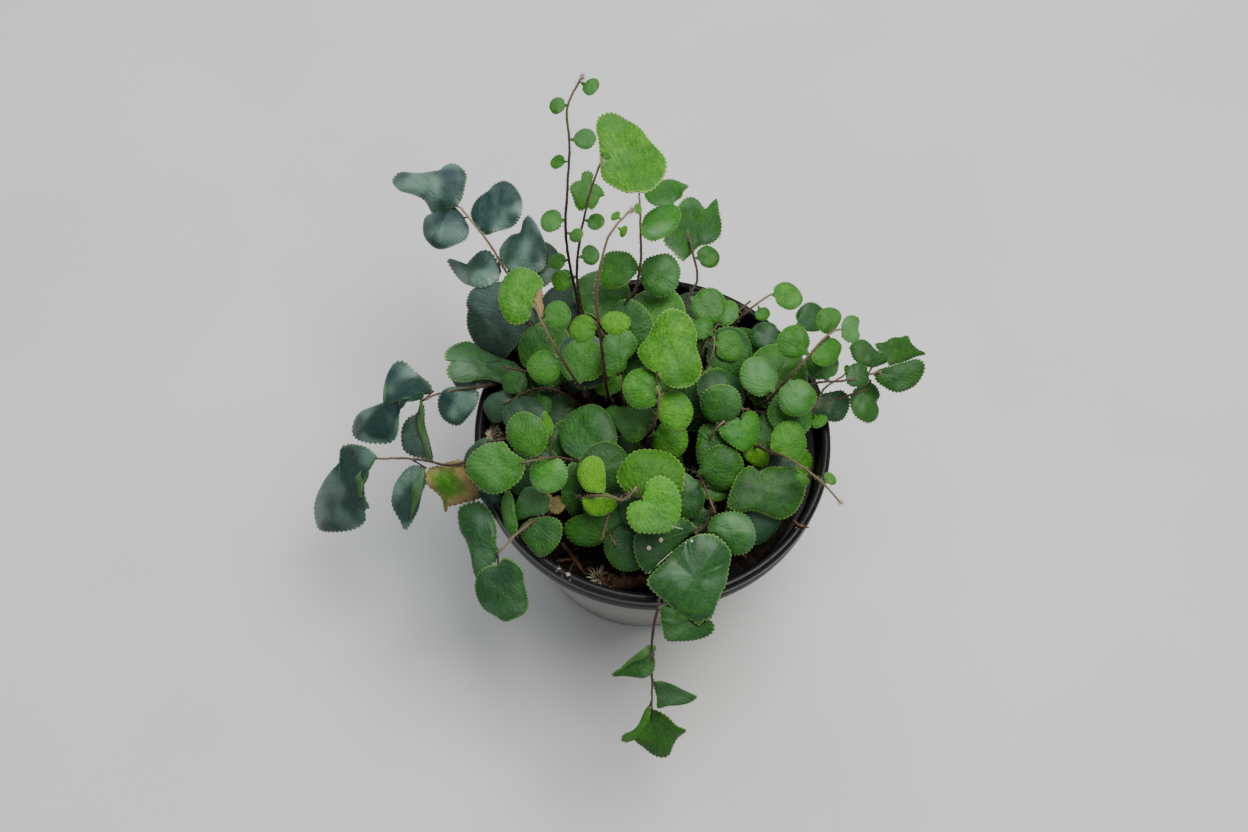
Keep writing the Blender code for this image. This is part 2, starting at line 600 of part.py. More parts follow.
def low_frond_routes():
    """The routes of the low fronds, on a spiral from the crown outwards, as (name, tone, route)."""
    dice = random.Random(SEED)
    taken = [Vector(route[0]).xy for _, _, route, _ in FRONDS]
    for index in range(LOW_FRONDS):
        share = index / (LOW_FRONDS - 1)
        turn = (SPIRAL_TURN * index + dice.uniform(-12, 12)) % 360
        bearing = math.radians(turn)
        out = Vector((math.cos(bearing), math.sin(bearing), 0))
        side = Vector((-out.y, out.x, 0)) * dice.uniform(-6, 6)
        outer = BARE_RADIUS if BARE_BEARINGS[0] < turn < BARE_BEARINGS[1] else LOW_OUTER_RADIUS
        root = out * (LOW_INNER_RADIUS + (outer - LOW_INNER_RADIUS) * share)
        while min((root.xy - other).length for other in taken) < ROOT_SPACING:
            root += out
        taken.append(root.xy)
        height = LOW_HEIGHT + (1 - share) * 8 + dice.uniform(-2, 3)
        reach = LOW_REACH + dice.uniform(-3, 4)
        middle = root + out * (0.4 * reach) + side + Vector((0, 0, height))
        tip = root + out * reach + side * 2 + Vector((0, 0, height + 1))
        yield "low_" + str(index + 1), LOW_TONE + dice.uniform(-0.1, 0.12), [root, middle, tip]


def grown_stem(route, space):
    """The stem on this route, with its middle bent aside until it clears what stands there."""
    for bend in stem_bends():
        stem = Stem(route, bend)
        if not space.blocked(stem.tube(CLEARANCE)):
            return stem
    return None


def placed(leaf, name, space):
    """Turns the leaflet until it clears everything, and says whether it does."""
    grow = 1 + 0.8 / leaf.length
    for way in LEAF_TURNS:
        leaf.place(*way)
        whole = leaf.blade(BLADE + 2 * CLEARANCE, grow)
        if on_soil_or_floor(whole[0]) or space.blocked(whole, skip=name):
            continue
        if space.blocked(leaf.blade(BLADE + CLEARANCE, 0.84), only=name):
            continue
        return True
    return False


def tilt_of(dice):
    return Vector((dice.uniform(-SPREAD, SPREAD), dice.uniform(-SPREAD, SPREAD), 0))


def on_soil_or_floor(corners):
    """Whether any corner comes down to the soil inside the pot, or to the ground outside it."""
    for corner in corners:
        lowest = SOIL_TOP + 1.5 if corner.xy.length < RIM_RADIUS else 5.0
        if corner.z < lowest:
            return True
    return False


def listed_leaves(stem, leaflets, dice):
    for percent, bearing, length, width, form in leaflets:
        yield Leaf(stem, percent / 100, bearing, length, width, form, tilt_of(dice))


def rule_leaves(stem, first, last, size, dice):
    """Leaflets on alternate sides from one share of the stem to another, larger low down."""
    count = int((last - first) * stem.length / LOW_SPACING)
    for index in range(count):
        share = last - (last - first) * (index + 1) / count
        _, along = stem.at(share)
        forward = math.degrees(math.atan2(along.y, along.x))
        side = 1 if index % 2 else -1
        bearing = forward + side * dice.uniform(60, 100)
        length = size * dice.uniform(0.8, 1.1) * (1.1 - 0.25 * share)
        yield Leaf(stem, share, bearing, length, length * dice.uniform(0.95, 1.1), "round", tilt_of(dice))


def grow_fronds():
    """Every frond as (name, tone, stem, leaflets): all stems first, then listed leaflets, then the rest."""
    space = Space()
    space.add(turned_rings(pot_profile()))
    for fallen in (RHIZOME, ROOT_TWIG, ROOT_BRANCH):
        space.add(tube_rings(*lying_path(fallen)))
    fronds = []
    for name, tone, route, leaflets in FRONDS:
        stem = grown_stem(route, space)
        fronds.append((name, tone, stem, leaflets, []))
        space.add(stem.tube(0), name)
    for name, tone, route in low_frond_routes():
        stem = grown_stem(route, space)
        if stem:
            fronds.append((name, tone, stem, None, []))
            space.add(stem.tube(0), name)
    for index, (name, _, stem, leaflets, kept) in enumerate(fronds):
        dice = random.Random(SEED + index)
        for leaf in listed_leaves(stem, leaflets or [], dice):
            if placed(leaf, name, space):
                kept.append(leaf)
                space.add(leaf.blade(BLADE, 1), name)
    for index, (name, _, stem, leaflets, kept) in enumerate(fronds):
        dice = random.Random(SEED + 100 + index)
        last = min(leaf[0] for leaf in leaflets) / 100 if leaflets else 1.06
        for leaf in rule_leaves(stem, LOW_START, last - 5 / stem.length, LOW_SIZE, dice):
            if placed(leaf, name, space):
                kept.append(leaf)
                space.add(leaf.blade(BLADE, 1), name)
    return [(name, tone, stem, kept) for name, tone, stem, _, kept in fronds]


def tube_object(name, path, radii, collection):
    """A round tube on a polyline, with a radius at each of its points, as a mesh."""
    curve = bpy.data.curves.new(name, "CURVE")
    curve.dimensions = "3D"
    curve.bevel_depth = MM
    curve.bevel_resolution = 1
    curve.use_fill_caps = True
    spline = curve.splines.new("POLY")
    spline.points.add(len(path) - 1)
    for point, place, radius in zip(spline.points, path, radii):
        point.co = (*(place * MM), 1)
        point.radius = radius
    return to_mesh_object(add_object(name, curve, collection), collection)


def leaf_object(leaf, number, collection):
    """The blade as a fan of triangles, bent to its form and thickened alike on both faces."""
    mesh = bpy.data.meshes.new("leaflet")
    work = bmesh.new()
    bmesh.ops.create_circle(work, cap_ends=True, cap_tris=True, segments=leaf.corners(), radius=1.0)
    angles = list(leaf.angles())
    rim = [vertex for vertex in work.verts if vertex.co.length > 0.5]
    for vertex in work.verts:
        if vertex.co.length <= 0.5:
            vertex.co = leaf.shape(0.0, 0.0)
    for vertex, angle in zip(rim, angles):
        vertex.co = leaf.shape(angle, 1.0)
    bmesh.ops.recalc_face_normals(work, faces=work.faces)
    for vertex in work.verts:
        vertex.co = (leaf.base + leaf.axes @ vertex.co) * MM
    work.to_mesh(mesh)
    work.free()
    obj = add_object("leaflet_" + str(number), mesh, collection)
    solidify = obj.modifiers.new("Solidify", "SOLIDIFY")
    solidify.thickness = BLADE * MM
    solidify.offset = 0
    return obj


def make_frond(name, tone, stem, leaves, collection, helpers):
    frond = tube_object("frond_" + name, stem.path, stem.radii(), collection)
    frond.data.materials.append(material(name + " stem", STEM_BROWN, 0.6))
    green = material(name + " leaf", leaf_colour(tone), 0.5)
    leaflets = new_collection("leaflets", helpers, hidden=True)
    for number, leaf in enumerate(leaves):
        leaflet = leaf_object(leaf, number, leaflets)
        leaflet.data.materials.append(green)
    if leaves:
        return joined(frond, leaflets, "UNION", collection)
    bpy.data.collections.remove(leaflets)
    return frond


def make_fallen(collection, helpers):
    brown = material("dry root", BROWN_ROOT, 0.9)
    rhizome = tube_object("rhizome", *lying_path(RHIZOME), collection)
    twig = tube_object("root_twig", *lying_path(ROOT_TWIG), collection)
    branches = new_collection("branches", helpers, hidden=True)
    tube_object("branch", *lying_path(ROOT_BRANCH), branches)
    twig = joined(twig, branches, "UNION", collection)
    for piece in (rhizome, twig):
        piece.data.materials.clear()
        piece.data.materials.append(brown)


def main():
    remove_everything()
    scene = bpy.context.scene.collection
    fern = new_collection("potted_button_fern", scene)
    helpers = new_collection("cutters", scene, hidden=True)
    make_pot(fern, helpers)
    make_fallen(fern, helpers)
    fronds = grow_fronds()
    roots = [(stem.points[0].x, stem.points[0].y) for _, _, stem, _ in fronds]
    make_soil(roots, fern, helpers)
    for name, tone, stem, leaves in fronds:
        make_frond(name, tone, stem, leaves, fern, helpers)
    for obj in fern.objects:
        obj.data.shade_smooth()
        obj.data.set_sharp_from_angle(angle=math.radians(30))


main()
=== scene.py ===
# %% [markdown]
# # A potted button fern, dressed
#
# The imported model is a plain solid of the plant: a nursery pot, a plug of soil, and some forty fronds, each
# a wiry stem with its round leaflets grown to it. This script puts the real surfaces over those solids:
# toothed and veined leaflets, hairy stems, a moulded rim and crumbly soil. Nothing moves, so every piece
# rides on the one body, root.
#
# The first cell loads the model and keeps its box, to print beside the finished plant's box at the end.

# %% Load the imported model
import math
import random

import bpy
import numpy as np
from mathutils import Matrix, Quaternion, Vector
from mathutils.kdtree import KDTree


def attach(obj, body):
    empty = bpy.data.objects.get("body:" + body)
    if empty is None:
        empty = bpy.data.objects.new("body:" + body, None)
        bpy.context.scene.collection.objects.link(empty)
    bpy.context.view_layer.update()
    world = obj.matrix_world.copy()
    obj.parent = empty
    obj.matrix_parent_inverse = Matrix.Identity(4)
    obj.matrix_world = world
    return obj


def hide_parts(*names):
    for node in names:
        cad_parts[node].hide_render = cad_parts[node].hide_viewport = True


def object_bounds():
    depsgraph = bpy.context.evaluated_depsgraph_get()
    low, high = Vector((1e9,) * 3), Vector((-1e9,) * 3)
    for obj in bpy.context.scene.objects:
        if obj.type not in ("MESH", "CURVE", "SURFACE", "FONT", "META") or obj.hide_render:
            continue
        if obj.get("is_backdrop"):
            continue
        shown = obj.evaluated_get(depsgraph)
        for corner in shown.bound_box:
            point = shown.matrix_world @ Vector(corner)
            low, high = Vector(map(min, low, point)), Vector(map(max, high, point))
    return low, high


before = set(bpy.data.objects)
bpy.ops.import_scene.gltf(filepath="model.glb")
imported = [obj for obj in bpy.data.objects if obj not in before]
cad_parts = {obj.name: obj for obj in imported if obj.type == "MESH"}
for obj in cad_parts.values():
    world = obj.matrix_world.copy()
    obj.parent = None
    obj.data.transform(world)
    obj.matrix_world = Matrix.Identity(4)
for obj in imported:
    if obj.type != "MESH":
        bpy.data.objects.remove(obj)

cad_box = [list(corner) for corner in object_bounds()]
for startup in ("Cube", "Light", "Camera"):
    if startup in bpy.data.objects:
        bpy.data.objects.remove(bpy.data.objects[startup], do_unlink=True)
print("CAD nodes:", len(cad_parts))

# %% [markdown]
# Lengths in the tables and functions below are in millimetres, because leaves and stems are thought of in
# millimetres, and a mesh is turned into metres as it is made. Small helpers do what the hand does in the
# window: select one object alone, name what an operator has just made, go into edit mode, join, paint and
# delete.

# %% Helpers for working by operators
MM = 0.001
SEED = 11


def alone(obj):
    """Selects this object and nothing else, and makes it the active one."""
    if bpy.context.mode != "OBJECT":
        bpy.ops.object.mode_set(mode="OBJECT")
    bpy.ops.object.select_all(action="DESELECT")
    obj.select_set(True)
    bpy.context.view_layer.objects.active = obj


def just_made(name):
    """Names the object that an operator has just added, and returns it."""
    obj = bpy.context.object
    obj.name = obj.data.name = name
    return obj


def edit(obj):
    """Goes into edit mode on the object with all of it selected."""
    alone(obj)
    bpy.ops.object.mode_set(mode="EDIT")
    bpy.ops.mesh.select_all(action="SELECT")


def object_mode():
    """Leaves edit mode."""
    bpy.ops.object.mode_set(mode="OBJECT")


def outward(obj):
    """Merges doubles and turns all faces outwards, the last step before a shape is closed."""
    edit(obj)
    bpy.ops.mesh.remove_doubles(threshold=1e-6)
    bpy.ops.mesh.normals_make_consistent(inside=False)
    object_mode()


def joined_into(obj, others):
    """Joins other objects into the first, as Ctrl J does."""
    alone(obj)
    for other in others:
        other.select_set(True)
    bpy.ops.object.join()
    return obj


def painted(obj, material):
    """Gives the object this material and no other."""
    obj.data.materials.clear()
    obj.data.materials.append(material)


def deleted(*objects):
    """Deletes objects that were only blanks to copy or cutters."""
    for obj in objects:
        bpy.data.objects.remove(obj, do_unlink=True)


def faces_in(*objects):
    """How many faces the objects have together."""
    return sum(len(obj.data.polygons) for obj in objects)


def finish_piece(obj, slot, *nodes):
    """Hands a finished piece to the frame: it rides on the root and stands for its nodes, which are hidden.
    The slot is not used.
    """
    bpy.context.view_layer.update()
    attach(obj, "root")
    if nodes:
        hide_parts(*nodes)


# %% [markdown]
# The photograph looks down on the plant from the front, about 64 degrees above the floor, with the camera
# rolled by 5 degrees. Its lens and place were found from the ellipse of the rim and the visible wall of the
# pot. The camera comes first, because later cells cast points of the photograph through it onto the leaflets.

# %% Camera
CAMERA_PLACE = Vector((-9.0, -188.6, 478.0))
CAMERA_DOWN = math.radians(64.17)
CAMERA_ROLL = math.radians(4.88)
CAMERA_LENS = 43.27
CAMERA_SENSOR = 36

forward = Vector((0, math.cos(CAMERA_DOWN), -math.sin(CAMERA_DOWN)))
level, upward = Vector((1, 0, 0)), Vector((0, math.sin(CAMERA_DOWN), math.cos(CAMERA_DOWN)))
screen_right = level * math.cos(CAMERA_ROLL) + upward * math.sin(CAMERA_ROLL)
screen_up = upward * math.cos(CAMERA_ROLL) - level * math.sin(CAMERA_ROLL)

bpy.ops.object.select_all(action="DESELECT")
bpy.ops.object.camera_add()
camera = just_made("camera")
camera.matrix_world = Matrix((screen_right, screen_up, -forward)).transposed().to_4x4()
camera.location = CAMERA_PLACE * MM
camera.data.sensor_width = CAMERA_SENSOR
camera.data.lens = CAMERA_LENS
camera.data.dof.use_dof = False
bpy.context.scene.camera = camera
print("camera at", [round(v, 3) for v in camera.location], "metres")

# %% [markdown]
# Every material below is written as a few sums. One small class stands for a socket and turns plus, times
# and power into Math nodes, and a second one makes a material and adds its other nodes.

# %% Writing shaders as sums
class Shade:
    """One socket of a material's nodes. Arithmetic on it adds Math nodes."""

    def __init__(self, paint, socket):
        self.paint, self.socket = paint, socket

    def maths(self, operation, *others):
        sockets = dict(enumerate((self,) + others))
        return self.paint.node("Math", {"operation": operation}, sockets)

    def __add__(self, other):
        return self.maths("ADD", other)

    def __mul__(self, other):
        return self.maths("MULTIPLY", other)

    def __sub__(self, other):
        return self.maths("SUBTRACT", other)

    def __rsub__(self, other):
        return self * -1 + other

    def __pow__(self, other):
        return self.maths("POWER", other)

    __radd__ = __add__

    def between(self, low, high):
        """0 below low and 1 above high, with a smooth step from one to the other."""
        limits = {"Value": self, "From Min": low, "From Max": high}
        if low > high:
            limits.update({"From Min": high, "From Max": low})
            return 1 - self.paint.node("MapRange", {"interpolation_type": "SMOOTHSTEP"}, limits)
        return self.paint.node("MapRange", {"interpolation_type": "SMOOTHSTEP"}, limits)


class Paint:
    """A new material, its one Principled shader, and the nodes that are added to it."""

    def __init__(self, name, **fixed):
        self.material = bpy.data.materials.new(name)
        self.material.use_nodes = True
        self.tree = self.material.node_tree
        self.shader = self.tree.nodes["Principled BSDF"]
        for socket, value in fixed.items():
            self.shader.inputs[socket.replace("_", " ")].default_value = value

    def node(self, kind, settings=None, sockets=None, out=0):
        """Adds a node: its type, its settings, then the value or link of each of its sockets."""
        made = self.tree.nodes.new("ShaderNode" + kind)
        for setting, value in (settings or {}).items():
            if setting == "stops":
                ramp = made.color_ramp.elements
                ramp[0].position, ramp[0].color = value[0][0], (*value[0][1], 1)
                ramp[-1].position, ramp[-1].color = value[-1][0], (*value[-1][1], 1)
                for place, colour in value[1:-1]:
                    ramp.new(place).color = (*colour, 1)
            else:
                setattr(made, setting, value)
        for socket, value in (sockets or {}).items():
            if isinstance(value, Shade):
                self.tree.links.new(value.socket, made.inputs[socket])
            else:
                made.inputs[socket].default_value = value
        return Shade(self, made.outputs[out])

    def feed(self, socket, value):
        """Links a value to a socket of the Principled shader."""
        self.tree.links.new(value.socket, self.shader.inputs[socket])

    def place(self):
        """The point on the object, in metres in the plant's own frame."""
        return self.node("TexCoord", out="Object")

    def look(self):
        """The four numbers that a mesh keeps on its corners in the attribute named look."""
        kept = self.node("Attribute", {"attribute_name": "look"})
        split = [self.node("SeparateColor", None, {0: kept}, part) for part in ("Red", "Green", "Blue")]
        return split + [self.node("Attribute", {"attribute_name": "look"}, None, "Alpha")]

    def noise(self, size, detail):
        """Soft noise from 0 to 1, with lumps about as large as size in millimetres."""
        sockets = {"Vector": self.place(), "Scale": 1 / (size * MM), "Detail": detail}
        return self.node("TexNoise", None, sockets)

    def mix(self, low, high, share, blend="MIX"):
        """The colour low where share is 0 and high where it is 1. With MULTIPLY, low times high there."""
        colours = {0: share, 6: low if isinstance(low, Shade) else (*low, 1),
                   7: high if isinstance(high, Shade) else (*high, 1)}
        return self.node("Mix", {"data_type": "RGBA", "blend_type": blend}, colours, 2)

    def bump(self, height, depth, under=None):
        """A bump of the given depth in millimetres, over another one if it is given."""
        sockets = {"Height": height, "Distance": depth * MM, "Strength": 1.0}
        if under:
            sockets["Normal"] = under
        return self.node("Bump", None, sockets)


# %% [markdown]
# The plant stands in the soft light of a bright room. A large area lamp high over the right side gives the
# satin glints on the leaves and the faint shadow on the left, a cooler and wider one behind lights the backs
# of the leaves, a weak one in front opens the shadows under them, and a pale world fills the rest. The floor
# is a plain pale grey with only a breath of unevenness, so that nothing competes with the leaves.

# %% Floor and light
FLOOR_GREY = (0.60, 0.595, 0.585)
FLOOR_SHADE = (0.565, 0.567, 0.57)
FLOOR_SIZE = 6
LAMP_AIM = Vector((0, 0, 90))
WORLD_COLOUR = (0.90, 0.95, 1.0, 1)
WORLD_STRENGTH = 0.25

bpy.ops.mesh.primitive_plane_add(size=FLOOR_SIZE)
floor = just_made("floor")
paint = Paint("plain floor", Roughness=0.9)
paint.feed("Base Color", paint.mix(FLOOR_SHADE, FLOOR_GREY, paint.noise(90, 2).between(0.35, 0.65)))
floor.data.materials.append(paint.material)
floor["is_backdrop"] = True


def soft_lamp(name, place, size, power, colour):
    """A square area lamp that looks at the middle of the plant."""
    bpy.ops.object.light_add(type="AREA", location=Vector(place) * MM)
    lamp = just_made(name)
    lamp.data.size = size * MM
    lamp.data.energy = power
    lamp.data.color = colour
    lamp.rotation_euler = (LAMP_AIM - Vector(place)).to_track_quat("-Z", "Y").to_euler()


soft_lamp("window", (260, 120, 1150), 700, 18.0, (1.0, 0.985, 0.96))
soft_lamp("sky", (-350, 900, 1000), 1200, 8.0, (0.90, 0.96, 1.0))
soft_lamp("front", (-150, -900, 900), 1300, 3.0, (1.0, 1.0, 1.0))
world = bpy.data.worlds.new("pale room")
world.use_nodes = True
world.node_tree.nodes["Background"].inputs["Color"].default_value = WORLD_COLOUR
world.node_tree.nodes["Background"].inputs["Strength"].default_value = WORLD_STRENGTH
bpy.context.scene.world = world

# %% [markdown]
# The pot is a thin nursery pot, injection moulded in black polypropylene: a tapered wall with a slight step
# to a taller lip, and a rounded rim that catches the light as one bright line. It could be a turned curve,
# but growing it from a disc shows the shape best: each step extrudes the top face and scales it to the next
# radius, up the outside, over the rim, and down the bore to the floor. The drain holes are then cut.

# %% Pot: measures and outline
RIM_RADIUS = 52.5
POT_HEIGHT = 80.0
BASE_RADIUS = 33.2
FLOOR_THICK = 2.0
WALL = 1.5
FOOT_WALL = 2.4
FOOT_HEIGHT = 3.2
LIP_HEIGHT = 9.0
LIP_STEP = 2.3
DRAIN_HOLES = 6
DRAIN_RADIUS = 3.5
DRAIN_RING = 23.0
DRAIN_SIDES, DRAIN_DEPTH = 32, 6.0
POT_SIDES = 128
POT_CREASE = math.radians(35)


def wall_radius(height):
    """The pot's outer wall below the lip, as a straight taper."""
    return BASE_RADIUS + 1 + (RIM_RADIUS - LIP_STEP - BASE_RADIUS - 1) * height / (POT_HEIGHT - LIP_HEIGHT)


def bore_radius(height):
    """The pot's inner wall, straight from its foot to the lip."""
    foot, lip = wall_radius(FOOT_HEIGHT) - FOOT_WALL, wall_radius(POT_HEIGHT - LIP_HEIGHT) - WALL
    return foot + (lip - foot) * (height - FOOT_HEIGHT) / (POT_HEIGHT - LIP_HEIGHT - FOOT_HEIGHT)


lip = POT_HEIGHT - LIP_HEIGHT
# The lip and rim, from the step over the top and down the bore: how far inside the rim's radius, and height
RIM_RINGS = [(0.7, lip + 0.1), (0.25, lip + 0.7), (0.25, 75.2), (0.5, 75.6), (0.5, 76.2), (0.1, 76.7),
             (0, 78.4), (0.2, 79.2), (0.75, 79.8), (1.5, 80.0), (2.2, 79.8), (2.75, 79.2), (3.0, 78.3),
             (3.25, 76.5)]
pot_outline = [(BASE_RADIUS - 0.9, 0), (BASE_RADIUS - 0.2, 0.15), (BASE_RADIUS + 0.6, 0.8),
               (wall_radius(1.8), 1.8)]
pot_outline += [(wall_radius(height), height) for height in (12, 24, 36, 48, 60, lip - 0.5)]
pot_outline += [(RIM_RADIUS - inside, height) for inside, height in RIM_RINGS]
pot_outline += [(bore_radius(height), height) for height in (lip, 60, 45, 30, 15, FOOT_HEIGHT)]
pot_outline += [(BASE_RADIUS - FOOT_WALL, FLOOR_THICK)]
print("pot outline:", len(pot_outline), "rings of", POT_SIDES)


# %% Pot: grown ring by ring
def grown_round(name, outline, sides):
    """A closed round shape: a disc at the first ring, its face extruded and scaled to each next ring."""
    radius, height = outline[0]
    bpy.ops.mesh.primitive_circle_add(vertices=sides, radius=radius * MM, fill_type="NGON")
    obj = just_made(name)
    edit(obj)
    bpy.ops.transform.translate(value=(0, 0, height * MM))
    for (before, low), (after, high) in zip(outline, outline[1:]):
        bpy.ops.mesh.extrude_region_move(TRANSFORM_OT_translate={"value": (0, 0, (high - low) * MM)})
        share = after / before
        bpy.ops.transform.resize(value=(share, share, 1), center_override=(0, 0, 0))
    object_mode()
    return obj


def cut_away(obj, cutters):
    """Cuts the cutters from the object, one Boolean on all of them joined, and deletes them."""
    cutter = joined_into(cutters[0], cutters[1:])
    alone(obj)
    hole = obj.modifiers.new("holes", "BOOLEAN")
    hole.operation, hole.solver, hole.object = "DIFFERENCE", "EXACT", cutter
    bpy.ops.object.modifier_apply(modifier=hole.name)
    deleted(cutter)


bpy.ops.object.select_all(action="DESELECT")
pot = grown_round("nursery_pot", pot_outline, POT_SIDES)
outward(pot)
drains = []
for index in range(DRAIN_HOLES):
    turn = 2 * math.pi * (index + 0.5) / DRAIN_HOLES
    place = Vector((DRAIN_RING * math.cos(turn), DRAIN_RING * math.sin(turn), FLOOR_THICK / 2)) * MM
    bpy.ops.mesh.primitive_cylinder_add(vertices=DRAIN_SIDES, radius=DRAIN_RADIUS * MM,
                                        depth=DRAIN_DEPTH * MM, location=place)
    drains.append(just_made("drain"))
cut_away(pot, drains)
alone(pot)
bpy.ops.object.shade_smooth_by_angle(angle=POT_CREASE)
print("pot faces:", faces_in(pot))

# %% [markdown]
# Black polypropylene is never a flat black. It has a satin skin with a faint flow grain, grey dust that
# settles on the rim and clings to the wall, and a few pale scuffs where the pot was knocked. Dust is a mask
# of noise that changes colour and roughness together: specks on top of the rim, and on the outer wall a
# strong grey, partly dust and partly a painted sheen, the light glancing off the wall painted into its
# colour.

# %% Pot: black plastic with dust, painted sheen and scuffs
POT_BLACK = (0.006, 0.006, 0.0065)
# The grey of the dust on the rim, and on the outer wall of dust and a painted sheen together
POT_DUST_AND_SHEEN = (0.29, 0.286, 0.272)
SCUFF_WHITE = (0.48, 0.48, 0.46)
SCUFFS = [(-20.8, -46.4, 2.6), (-23.2, -45.2, 1.6), (43.5, -27.0, 1.5)]
SCUFF_HEIGHT = 79.5
RIM_DUST_HEIGHTS = (78.8, 79.9)
# How grey the outer wall is: partly dust, partly a painted sheen of the light
WALL_DUST_AND_SHEEN = 0.74

paint = Paint("black nursery plastic", Specular_IOR_Level=0.15)
place = paint.place()
height = paint.node("SeparateXYZ", None, {0: place}, "Z")
on_wall = height.between((lip + 0.5) * MM, (lip - 0.5) * MM)
grain = paint.noise(0.5, 5)
cloud = paint.noise(22, 5).between(0.35, 0.75)
specks = paint.noise(0.9, 2).between(0.66, 0.74)
on_rim = height.between(*(level * MM for level in RIM_DUST_HEIGHTS))
# On the outer wall this grey is partly dust and partly a painted sheen, light glancing off the black wall
# painted into its colour
dust_and_sheen = cloud * 0.02 + on_rim * specks * 0.12 + on_wall * (WALL_DUST_AND_SHEEN + cloud * 0.12)
scuff = paint.noise(1.3, 4).between(0.55, 0.62)
near = None
for x, y, reach in SCUFFS:
    ends = {0: place, 1: (x * MM, y * MM, SCUFF_HEIGHT * MM)}
    spot = paint.node("VectorMath", {"operation": "DISTANCE"}, ends, "Value")
    mark = spot.between(reach * MM, reach * 0.4 * MM)
    near = mark if near is None else near + mark
scuff = scuff * near * 0.45
colour = paint.mix(POT_BLACK, POT_DUST_AND_SHEEN, dust_and_sheen)
paint.feed("Base Color", paint.mix(colour, SCUFF_WHITE, scuff))
paint.feed("Roughness", 0.24 + dust_and_sheen * 0.6 + grain * 0.1 + scuff * 0.2)
paint.feed("Normal", paint.bump(grain, 0.03))
pot.data.materials.append(paint.material)
finish_piece(pot, "black_plastic", "pot")
print("pot finished:", paint.material.name)

# %% [markdown]
# Potting mix is peat, bark crumbs and fibres, almost black when damp. Its plug fills the pot to about 11 mm
# below the rim, rises and dips a little, and sinks towards the wall. The plug is grown like the pot, its
# top face is inset into many rings, and the rings are lifted to the soil's height and roughened by
# Displace.

# %% Soil: a plug with an uneven top
SOIL_TOP = 68.5
SOIL_GAP = 0.3
SOIL_WAVE = 0.5
SOIL_SIDES = 144
SOIL_RINGS, RING_STEP = 42, 1.05


def soil_height(x, y):
    """The soil's top: nearly flat, gently uneven, and lower by the wall."""
    uneven = math.sin(x / 8.0 + 1.0) * math.cos(y / 7.0) + 0.6 * math.sin((x + y) / 5.0)
    return SOIL_TOP + SOIL_WAVE * uneven - 0.0006 * (x * x + y * y)


def roughened(obj, name, size, depth, **settings):
    """Moves the skin of the active object by soft clouds of a size and a depth, with Displace."""
    clouds = bpy.data.textures.new(name, "CLOUDS")
    clouds.noise_scale = size * MM
    displace = obj.modifiers.new(name, "DISPLACE")
    displace.texture, displace.strength, displace.texture_coords = clouds, depth * MM, "LOCAL"
    for setting, value in settings.items():
        setattr(displace, setting, value)
    bpy.ops.object.modifier_apply(modifier=displace.name)


soil_edge = bore_radius(SOIL_TOP - 3) - SOIL_GAP
soil_outline = [(BASE_RADIUS - FOOT_WALL - SOIL_GAP, FLOOR_THICK + SOIL_GAP),
                (bore_radius(FOOT_HEIGHT) - SOIL_GAP, FOOT_HEIGHT + SOIL_GAP), (soil_edge, SOIL_TOP)]
soil = grown_round("potting_soil", soil_outline, SOIL_SIDES)
edit(soil)
bpy.ops.mesh.select_mode(type="FACE")
bpy.ops.mesh.select_all(action="DESELECT")
object_mode()
max(soil.data.polygons, key=lambda face: face.center.z).select = True
bpy.ops.object.mode_set(mode="EDIT")
for _ in range(SOIL_RINGS):
    bpy.ops.mesh.inset(thickness=RING_STEP * MM)
bpy.ops.mesh.poke()
object_mode()
top = soil.vertex_groups.new(name="top")
for vertex in soil.data.vertices:
    x, y, height = vertex.co / MM
    if height > SOIL_TOP - 1:
        vertex.co.z = soil_height(x, y) * MM
        if math.hypot(x, y) < soil_edge - 0.5:
            top.add([vertex.index], 1.0, "REPLACE")
outward(soil)
for name, size, depth in (("lumps", 4.0, 1.2), ("crumbs", 1.2, 0.7)):
    roughened(soil, "soil " + name, size, depth, vertex_group="top", direction="Z")
bpy.ops.object.shade_smooth()
print("soil faces:", faces_in(soil))

# %% [markdown]
# Peat is crumbly at two scales, so two sizes of noise mix a damp and a drier brown and raise the bump. It
# throws back almost no light, and so it is rough and hardly specular.

# %% Soil: damp peat
DAMP_PEAT, DRY_PEAT = (0.003, 0.0025, 0.002), (0.028, 0.018, 0.012)

paint = Paint("potting soil", Roughness=0.95, Specular_IOR_Level=0.2)
coarse, fine = paint.noise(2.2, 5), paint.noise(0.5, 6)
paint.feed("Base Color", paint.mix(DAMP_PEAT, DRY_PEAT, (coarse * 0.6 + fine * 0.5).between(0.45, 0.8)))
paint.feed("Normal", paint.bump(fine, 0.25, paint.bump(coarse, 0.5)))
soil.data.materials.append(paint.material)
finish_piece(soil, "potting_soil", "soil")
print("soil finished:", paint.material.name)

# %% [markdown]
# ## The fronds
#
# A button fern sends up arching fronds from a creeping rhizome. Each has one wiry stem and round leaflets on
# short stalks, which are darker and tougher on old fronds and yellow-green on young ones. The table below is
# the same one that made the solids: for each frond its name, its tone (0 dark blue-green, 1 yellow-green),
# the route of its stem, and its leaflets from the tip down as (percent along, bearing, length, width, form).
# A form says how a blade bends and how its outline departs from round. It is left out where it is round.

